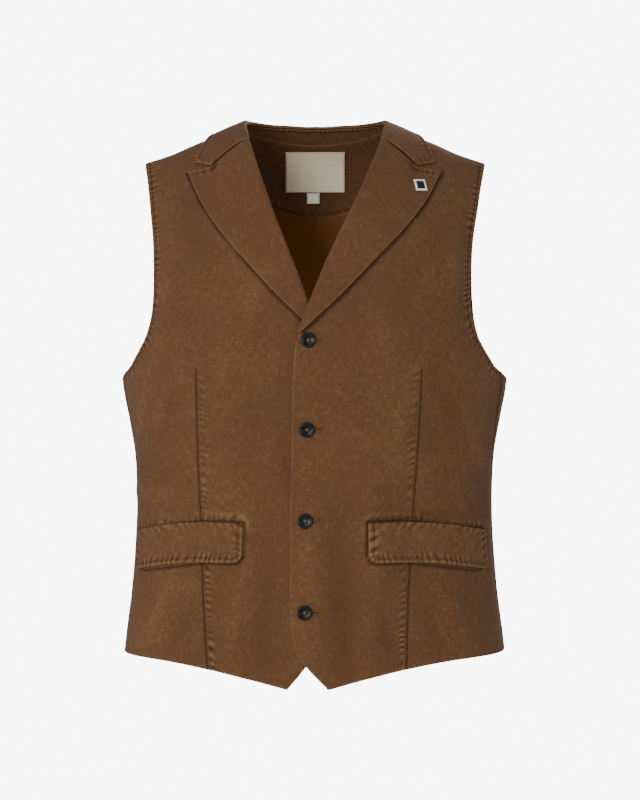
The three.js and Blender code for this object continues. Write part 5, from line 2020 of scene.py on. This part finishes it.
@dataclass
class NeckInside:
    """The back neck facing, the label and the size tag."""

    room: Workroom
    halves: tuple[BackHalf, BackHalf]
    label: LabelBox = LabelBox("neck_label", -34, 34, -43, 3.5)
    tag: LabelBox = LabelBox("size_tag", -9.5, 5, -56, -43.7)
    end_inset: float = 2
    neck_centre_y: float = 15
    top_rises: tuple[float, ...] = (1.2, 2.4, 3.6)
    top_lean: float = 0.55
    fine: tuple[float, float] = (1.0, 2.6)
    rough: float = 0.15
    slack_mm: float = 0.6
    slack_from: float = 1.5
    slack_over: float = 8
    slack_pitch: float = 9
    slack_squash: float = 0.4
    slack_seed: int = 110
    grid_step: float = 1.2
    bar_spacing: float = 2.1
    bar_slope: float = 0.35
    bar_reach: tuple[float, float] = (-0.2, 1.7)
    bar_height: float = 0.22
    bar_radii: tuple[float, ...] = (0.16, 0.34, 0.34, 0.16)

    def build(self) -> list[Shell]:
        """Makes the facing and both labels."""
        shells = [self.facing()]
        for box, material in ((self.label, self.room.finishes.label), (self.tag, self.room.finishes.tag)):
            shells.append(self.inside_label(box, material, shells[0].name))
        return shells

    def facing(self) -> Shell:
        """The facing, cut in one across the back."""
        cut = self.room.cut
        left, right = (half.drawn_in(half.grids(*self.fine)[2], self.end_inset, 0) for half in self.halves)
        middle = left.at[:, :1] * np.array([0, 1, 1])
        middle_out = unit(left.out[:, :1] * np.array([0, 1, 1]))
        at = np.concatenate([right.at[:, :0:-1], middle, left.at[:, 1:]], axis=1)
        out = np.concatenate([right.out[:, :0:-1], middle_out, left.out[:, 1:]], axis=1)
        grid = Spots(at, out).moved(-(cut.cloth + cut.lining_air))
        top = grid.at[-1]
        lean = unit(np.stack([-top[:, 0], self.neck_centre_y - top[:, 1], 0 * top[:, 0]], -1))
        upward = unit(lean * self.top_lean + UP)
        beyond = top + upward * np.array(self.top_rises)[:, None, None]
        grid = spots_of(np.concatenate([grid.at, beyond]), self.room.form.core)
        hem = Seamline(grid.at[0])
        shell = Shell(
            "neck_facing",
            "facing",
            (grid,),
            cut.lining,
            self.room.finishes.facing,
            reliefs=[self.room.form.creased(Face.BACK, self.rough, 101)],
            shades=[Pucker(hem, gauge=1.5, depth=0.15, pitch=8, reach=4, slant=0.3, dip=0.2, seed=102)],
            seamed=True,
        )
        shell.build()
        shell.declare()
        return shell

    def inside_label(self, box: LabelBox, material: bpy.types.Material, on: str) -> Shell:
        """A woven label on the inside of the back, sewn round its edge."""
        cut, form = self.room.cut, self.room.form
        depth = cut.cloth + cut.lining_air + cut.lining + cut.label_air
        spans = ((box.left, box.right), (box.bottom, box.top))
        x, z = np.meshgrid(*(np.linspace(a, b, max(int((b - a) / self.grid_step), 6)) for a, b in spans))
        points = form.point(Face.BACK, Side.LEFT, np.abs(x), z)
        points[..., 0] = x
        grid = spots_of(points, form.core).moved(-depth)
        shell = Shell(
            box.node,
            "label",
            (grid,),
            cut.label,
            material,
            reliefs=[self.slack(box)],
            roll=0.8,
            edge_wear_and_highlight=0.2,
        )
        shell.build()
        stitches = self.label_stitches(grid, box.node)
        shell.declare()
        return shell

    def slack(self, box: LabelBox) -> Relief:
        """A label's unevenness, which ends where its edge is sewn down."""

        def lift(at: np.ndarray) -> np.ndarray:
            """How far each point lies out."""
            x, z = at[:, 0], at[:, 2]
            inset = np.minimum.reduce([x - box.left, box.right - x, z - box.bottom, box.top - z])
            free = ease((inset - self.slack_from) / self.slack_over)
            waves = soft_noise(x, self.slack_squash * z, self.slack_pitch, self.slack_seed)
            return self.slack_mm * free * waves

        return lift

    def label_stitches(self, grid: Spots, node: str) -> bpy.types.Object:
        """Short stitches across the label's edges, on the face that shows."""
        thread = Thread()
        inner_face = grid.moved(-self.room.cut.label)
        inward = -inner_face.out
        borders = (
            (inner_face.at[:, 0], inward[:, 0], inner_face.at[:, 1]),
            (inner_face.at[:, -1], inward[:, -1], inner_face.at[:, -2]),
            (inner_face.at[-1], inward[-1], inner_face.at[-2]),
        )
        steps = len(self.bar_radii)
        height = np.array([0, self.bar_height, self.bar_height, 0])
        for border, up, next_in in borders:
            for point in Seamline(border, self.bar_spacing).points[1:-1]:
                k = int(np.argmin(np.linalg.norm(border - point, axis=1)))
                to_inside = unit(next_in[k] - border[k])
                slope = unit(np.cross(to_inside, up[k])) * self.bar_slope
                path = point + (to_inside + slope) * np.linspace(*self.bar_reach, steps)[:, None]
                path = path + up[k] * height[:, None]
                thread.bar(path, np.tile(up[k], (steps, 1)), np.array(self.bar_radii))
        return thread.build(f"{node}_stitches", self.room.finishes.thread, "label")


# The turned button's outline from the middle of its underside out and back to the middle of its top,
# in shares of its radius and its thickness
BUTTON_OUTLINE = (
    *((0, 0), (0.7, 0), (0.84, 0.08), (0.95, 0.25), (1, 0.45), (0.985, 0.68), (0.93, 0.9)),
    *((0.86, 1), (0.79, 0.95), (0.72, 0.8), (0.66, 0.68), (0.55, 0.62), (0.3, 0.58), (0, 0.57)),
)
# The thread over a button: places across it in shares of a hole's distance, heights, and how much
# higher the second pass lies in the middle
CROSS_REACH = (-1.12, -1.0, -0.7, 0, 0.7, 1.0, 1.12)
CROSS_HEIGHT = (-1.2, 0.05, 0.35, 0.55, 0.35, 0.05, -1.2)
CROSS_SECOND = (0, 0, 0, 0.2, 0, 0, 0)


def circle(sides: int) -> np.ndarray:
    """Points round a circle of radius 1."""
    turn = np.linspace(0, 2 * math.pi, sides, endpoint=False)
    return np.stack([np.cos(turn), np.sin(turn)], -1)


@dataclass
class ButtonRow:
    """Four buttons with their thread and buttonholes, down the left front."""

    room: Workroom
    front: Shell
    turns: tuple[float, ...] = (8, 40, 3, 27)
    radius: float = 8.2
    thick: float = 3.0
    hole_radius: float = 0.95
    hole_out: float = 1.95
    hole_sides: int = 20
    segments: int = 64
    off: float = 0.3
    seat: float = 6
    thread_radius: float = 0.3
    strand_out: float = 0.4
    dish: float = 0.58
    work_radius: float = 0.4
    work_pitch: float = 1.05
    work_half: float = 1.9
    work_from: float = 0.18
    work_lift: tuple[float, ...] = (0.05, 0.28, 0.28, 0.05)
    work_taper: tuple[float, ...] = (0.2, 1, 1, 0.2)
    work_shares: tuple[float, ...] = (0, 0.3, 0.7, 1)
    fan: tuple[float, ...] = (-70, -35, 0, 35, 70)
    fan_from: float = 0.25
    fan_to: tuple[float, float] = (2.2, 2.0)

    def disc(self) -> bpy.types.Mesh:
        """The turned disc with its rim, dish and four holes, lying on z = 0, in metres."""
        profile = np.array(BUTTON_OUTLINE) * (self.radius, self.thick)
        inner, ring = profile[1:-1], circle(self.segments)
        points = [np.array([[0, 0, 0]])]
        points += [np.column_stack([ring * out, np.full(len(ring), height)]) for out, height in inner]
        points.append(np.array([[0, 0, profile[-1][1]]]))
        n, faces = self.segments, []
        last = 1 + (len(inner) - 1) * n
        for i in range(n):
            j = (i + 1) % n
            faces.append([0, 1 + j, 1 + i])
            faces += [[k + i, k + j, k + n + j, k + n + i] for k in range(1, last, n)]
            faces.append([last + i, last + j, last + n])
        blank = add_mesh("button_blank", np.concatenate(points), faces, self.room.finishes.horn)
        drill = self.drill()
        cut = blank.modifiers.new("holes", "BOOLEAN")
        cut.operation, cut.object, cut.solver = "DIFFERENCE", drill, "EXACT"
        graph = bpy.context.evaluated_depsgraph_get()
        mesh = bpy.data.meshes.new_from_object(blank.evaluated_get(graph))
        for thing in (blank, drill):
            bpy.data.objects.remove(thing)
        return mesh

    def drill(self) -> bpy.types.Object:
        """Four rods that cut the holes."""
        points, faces = [], []
        for k in range(4):
            angle = math.pi / 4 + k * math.pi / 2
            centre = np.array([math.cos(angle), math.sin(angle)]) * self.hole_out
            ring = circle(self.hole_sides) * self.hole_radius + centre
            faces += tube_faces(self.hole_sides, 2, len(points) * self.hole_sides)
            for height in (-self.thick, 2 * self.thick):
                points.append(np.column_stack([ring, np.full(self.hole_sides, height)]))
        return add_mesh("button_drill", np.concatenate(points), faces, self.room.finishes.horn)

    def frame_at(self, z: float) -> tuple[Vector, Vector]:
        """Where a button stands on the cloth and which way it faces, in millimetres."""
        spot = self.room.form.point(Face.FRONT, Side.LEFT, 0.0, z)
        cloth, steps = self.front.surface, (-self.seat, 0, self.seat)
        wide = [cloth.find_nearest(spot + np.array([dx, 0, dz]))[1] for dx in steps for dz in steps]
        return cloth.find_nearest(spot)[0], sum(wide, Vector()).normalized()

    def build(self) -> list[bpy.types.Object]:
        """Makes the buttons, their thread and their buttonholes."""
        mesh = self.disc()
        made = []
        for k, (z, turn) in enumerate(zip(SLOTS.heights, self.turns), start=1):
            spot, out = self.frame_at(z)
            side = Vector((1, 0, 0)) - out * out.x
            upright = Matrix((side.normalized(), out.cross(side).normalized(), out)).transposed().to_4x4()
            place = Matrix.Translation((spot + out * self.off) * MM) @ upright
            piece = bpy.data.objects.new(f"button_{k}_horn", mesh.copy())
            bpy.context.scene.collection.objects.link(piece)
            piece.matrix_world = place @ Matrix.Rotation(math.radians(turn), 4, "Z")
            made.append(settle(piece, "button", [f"button_{k}"]))
            made.append(self.cross_thread(k, place, turn))
            made.append(self.buttonhole(k, place))
        return made

    def cross_thread(self, k: int, place: Matrix, turn: float) -> bpy.types.Object:
        """The thread crossed over a button's four holes."""
        thread = Thread()
        reach = np.array(CROSS_REACH) * self.hole_out
        for quarter in range(2):
            angle = math.radians(turn) + math.pi / 4 + quarter * math.pi / 2
            way = np.array([math.cos(angle), math.sin(angle), 0])
            across = np.array([-way[1], way[0], 0])
            height = self.thick * self.dish + np.array(CROSS_HEIGHT) + quarter * np.array(CROSS_SECOND)
            for strand in (-self.strand_out, self.strand_out):
                path = way * reach[:, None] + across * strand + UP * height[:, None]
                thread.bar(path, np.tile(UP, (len(path), 1)), np.full(len(path), self.thread_radius))
        piece = thread.build(f"button_{k}_thread", self.room.finishes.thread, "cloth")
        piece.matrix_world = place @ piece.matrix_world.copy()
        return piece

    def buttonhole(self, k: int, place: Matrix) -> bpy.types.Object:
        """The worked buttonhole that a button sits at the end of."""
        thread = Thread()
        radii = np.array(self.work_taper) * self.work_radius
        cloth = self.front.surface
        to_mm = Matrix.Scale(1 / MM, 4) @ place @ Matrix.Scale(MM, 4)

        def work(start: tuple[float, float], end: tuple[float, float]) -> None:
            """Sews one stitch between two places beside the slot."""
            path, ups = [], []
            for share, proud in zip(self.work_shares, self.work_lift):
                local = Vector((mix(start[0], end[0], share), mix(start[1], end[1], share), 0))
                hit = cloth.find_nearest(to_mm @ local)
                path.append(list(hit[0] + hit[1] * proud))
                ups.append(list(hit[1]))
            thread.bar(np.array(path), np.array(ups), radii)

        for x in np.arange(SLOTS.start, SLOTS.end, self.work_pitch):
            for way in (-1, 1):
                work((x, self.work_from * way), (x, self.work_half * way))
        for degrees in self.fan:
            ray = (math.cos(math.radians(degrees)), math.sin(math.radians(degrees)))
            start = (SLOTS.end + self.fan_from * ray[0], self.fan_from * ray[1])
            work(start, (SLOTS.end + self.fan_to[0] * ray[0], self.fan_to[1] * ray[1]))
        return thread.build(f"buttonhole_{k}", self.room.finishes.thread, "cloth")


@dataclass
class LapelPin:
    """The small square pin: its CAD pieces, with softened edges and their finishes."""

    room: Workroom
    bevel: float = 0.25
    bevel_steps: int = 3
    bevel_from: float = 35

    def build(self) -> None:
        """Dresses the pin's nodes."""
        finishes = self.room.finishes
        for node, material in (("pin_frame", finishes.enamel), ("pin_inlay", finishes.resin)):
            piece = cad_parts[node]
            piece.data.materials.clear()
            piece.data.materials.append(material)
            soften = piece.modifiers.new("soft_edges", "BEVEL")
            soften.width, soften.segments = self.bevel * MM, self.bevel_steps
            soften.limit_method, soften.angle_limit = "ANGLE", math.radians(self.bevel_from)
            LOG.info("%s dressed in place", node)


@dataclass(frozen=True)
class Lamp:
    """A square soft light: its place and side in metres, and its power in watts."""

    name: str
    place: tuple[float, float, float]
    power: float
    size: float


@dataclass
class Studio:
    """Camera, lights, backdrop colour and floor."""

    picture: tuple[int, int] = (640, 800)
    mm_per_pixel: float = 1.1
    middle_pixel_x: float = 315.2
    middle_z: float = -279.4
    distance: float = 3200
    sensor: float = 36
    floor_drop: float = 1420
    floor_radius: float = 3500
    floor_sides: int = 96
    aim: tuple[float, float, float] = (0, 0, -0.25)
    lamps: tuple[Lamp, ...] = (
        Lamp("key", (-0.6, -1.95, -0.05), 20.5, 0.5),
        Lamp("fill", (2.0, -1.1, 0.1), 8, 1.1),
        Lamp("left", (-2.2, -0.9, -0.5), 14, 1.0),
        Lamp("top", (-0.1, -0.7, 2.0), 9, 0.9),
        Lamp("back", (0.9, 2.4, 0.9), 52, 1.4),
    )
    ambient: float = 0.33
    glare: float = 8.9
    backdrop: str = "#f6f6f6"
    daylight: str = "#ffffff"

    def build(self) -> None:
        """Makes all of it."""
        self.camera()
        self.floor()
        self.lights()
        self.world()

    def camera(self) -> None:
        """The camera, level and far off, as the photograph was taken."""
        data = bpy.data.cameras.new("camera")
        data.sensor_width = self.sensor
        data.lens = self.sensor * self.distance / (self.picture[1] * self.mm_per_pixel)
        camera = bpy.data.objects.new("camera", data)
        x = (self.picture[0] / 2 - self.middle_pixel_x) * self.mm_per_pixel
        camera.location = (x * MM, -self.distance * MM, self.middle_z * MM)
        camera.rotation_euler = (math.pi / 2, 0, 0)
        bpy.context.scene.collection.objects.link(camera)
        bpy.context.scene.camera = camera

    def floor(self) -> None:
        """A plain pale disc, as far down as a wearer's feet."""
        ring = circle(self.floor_sides) * self.floor_radius
        points = np.column_stack([ring, np.full(len(ring), -self.floor_drop)])
        add_mesh("floor", points, [list(range(len(ring)))], FLOOR.build())

    def lights(self) -> None:
        """A key left of the camera, a side light on each side, one above and a rim from behind."""
        for lamp in self.lamps:
            data = bpy.data.lights.new(lamp.name, "AREA")
            data.energy, data.size = lamp.power, lamp.size
            light = bpy.data.objects.new(lamp.name, data)
            light.location = lamp.place
            light.visible_camera = False
            way = Vector(self.aim) - Vector(lamp.place)
            light.rotation_euler = way.to_track_quat("-Z", "Y").to_euler()
            bpy.context.scene.collection.objects.link(light)

    def world(self) -> None:
        """A pale backdrop for the eye and a softer light from it on the cloth."""
        world = bpy.data.worlds.new("studio")
        world.use_nodes = True
        tree = world.node_tree
        tree.nodes.clear()
        seen, felt = (
            add_node(tree, "ShaderNodeBackground", {"Color": linear(tone), "Strength": power}).outputs[0]
            for tone, power in ((self.backdrop, self.glare), (self.daylight, self.ambient))
        )
        eye = add_node(tree, "ShaderNodeLightPath").outputs["Is Camera Ray"]
        both = add_node(tree, "ShaderNodeMixShader", links={0: eye, 1: felt, 2: seen})
        add_node(tree, "ShaderNodeOutputWorld", links={"Surface": both.outputs[0]})
        bpy.context.scene.world = world


def main() -> None:
    """Builds the waistcoat's cloth, sewing and trim round the frame."""
    logging.basicConfig(level=logging.INFO, format="%(message)s")
    Studio().build()
    room = Workroom(BodyForm(), Cut(), Finishes.make())
    fronts = {side: Forepart(room, side).build() for side in Side}
    for side in Side:
        PocketFlap(room, side).build()
        Lapel(room, side).build()
    halves = (BackHalf(room, Side.LEFT), BackHalf(room, Side.RIGHT))
    for half in halves:
        half.build()
        half.lining()
    Collar(room).build()
    NeckInside(room, halves).build()
    ButtonRow(room, fronts[Side.LEFT]).build()
    LapelPin(room).build()


if __name__ == "__main__":
    main()
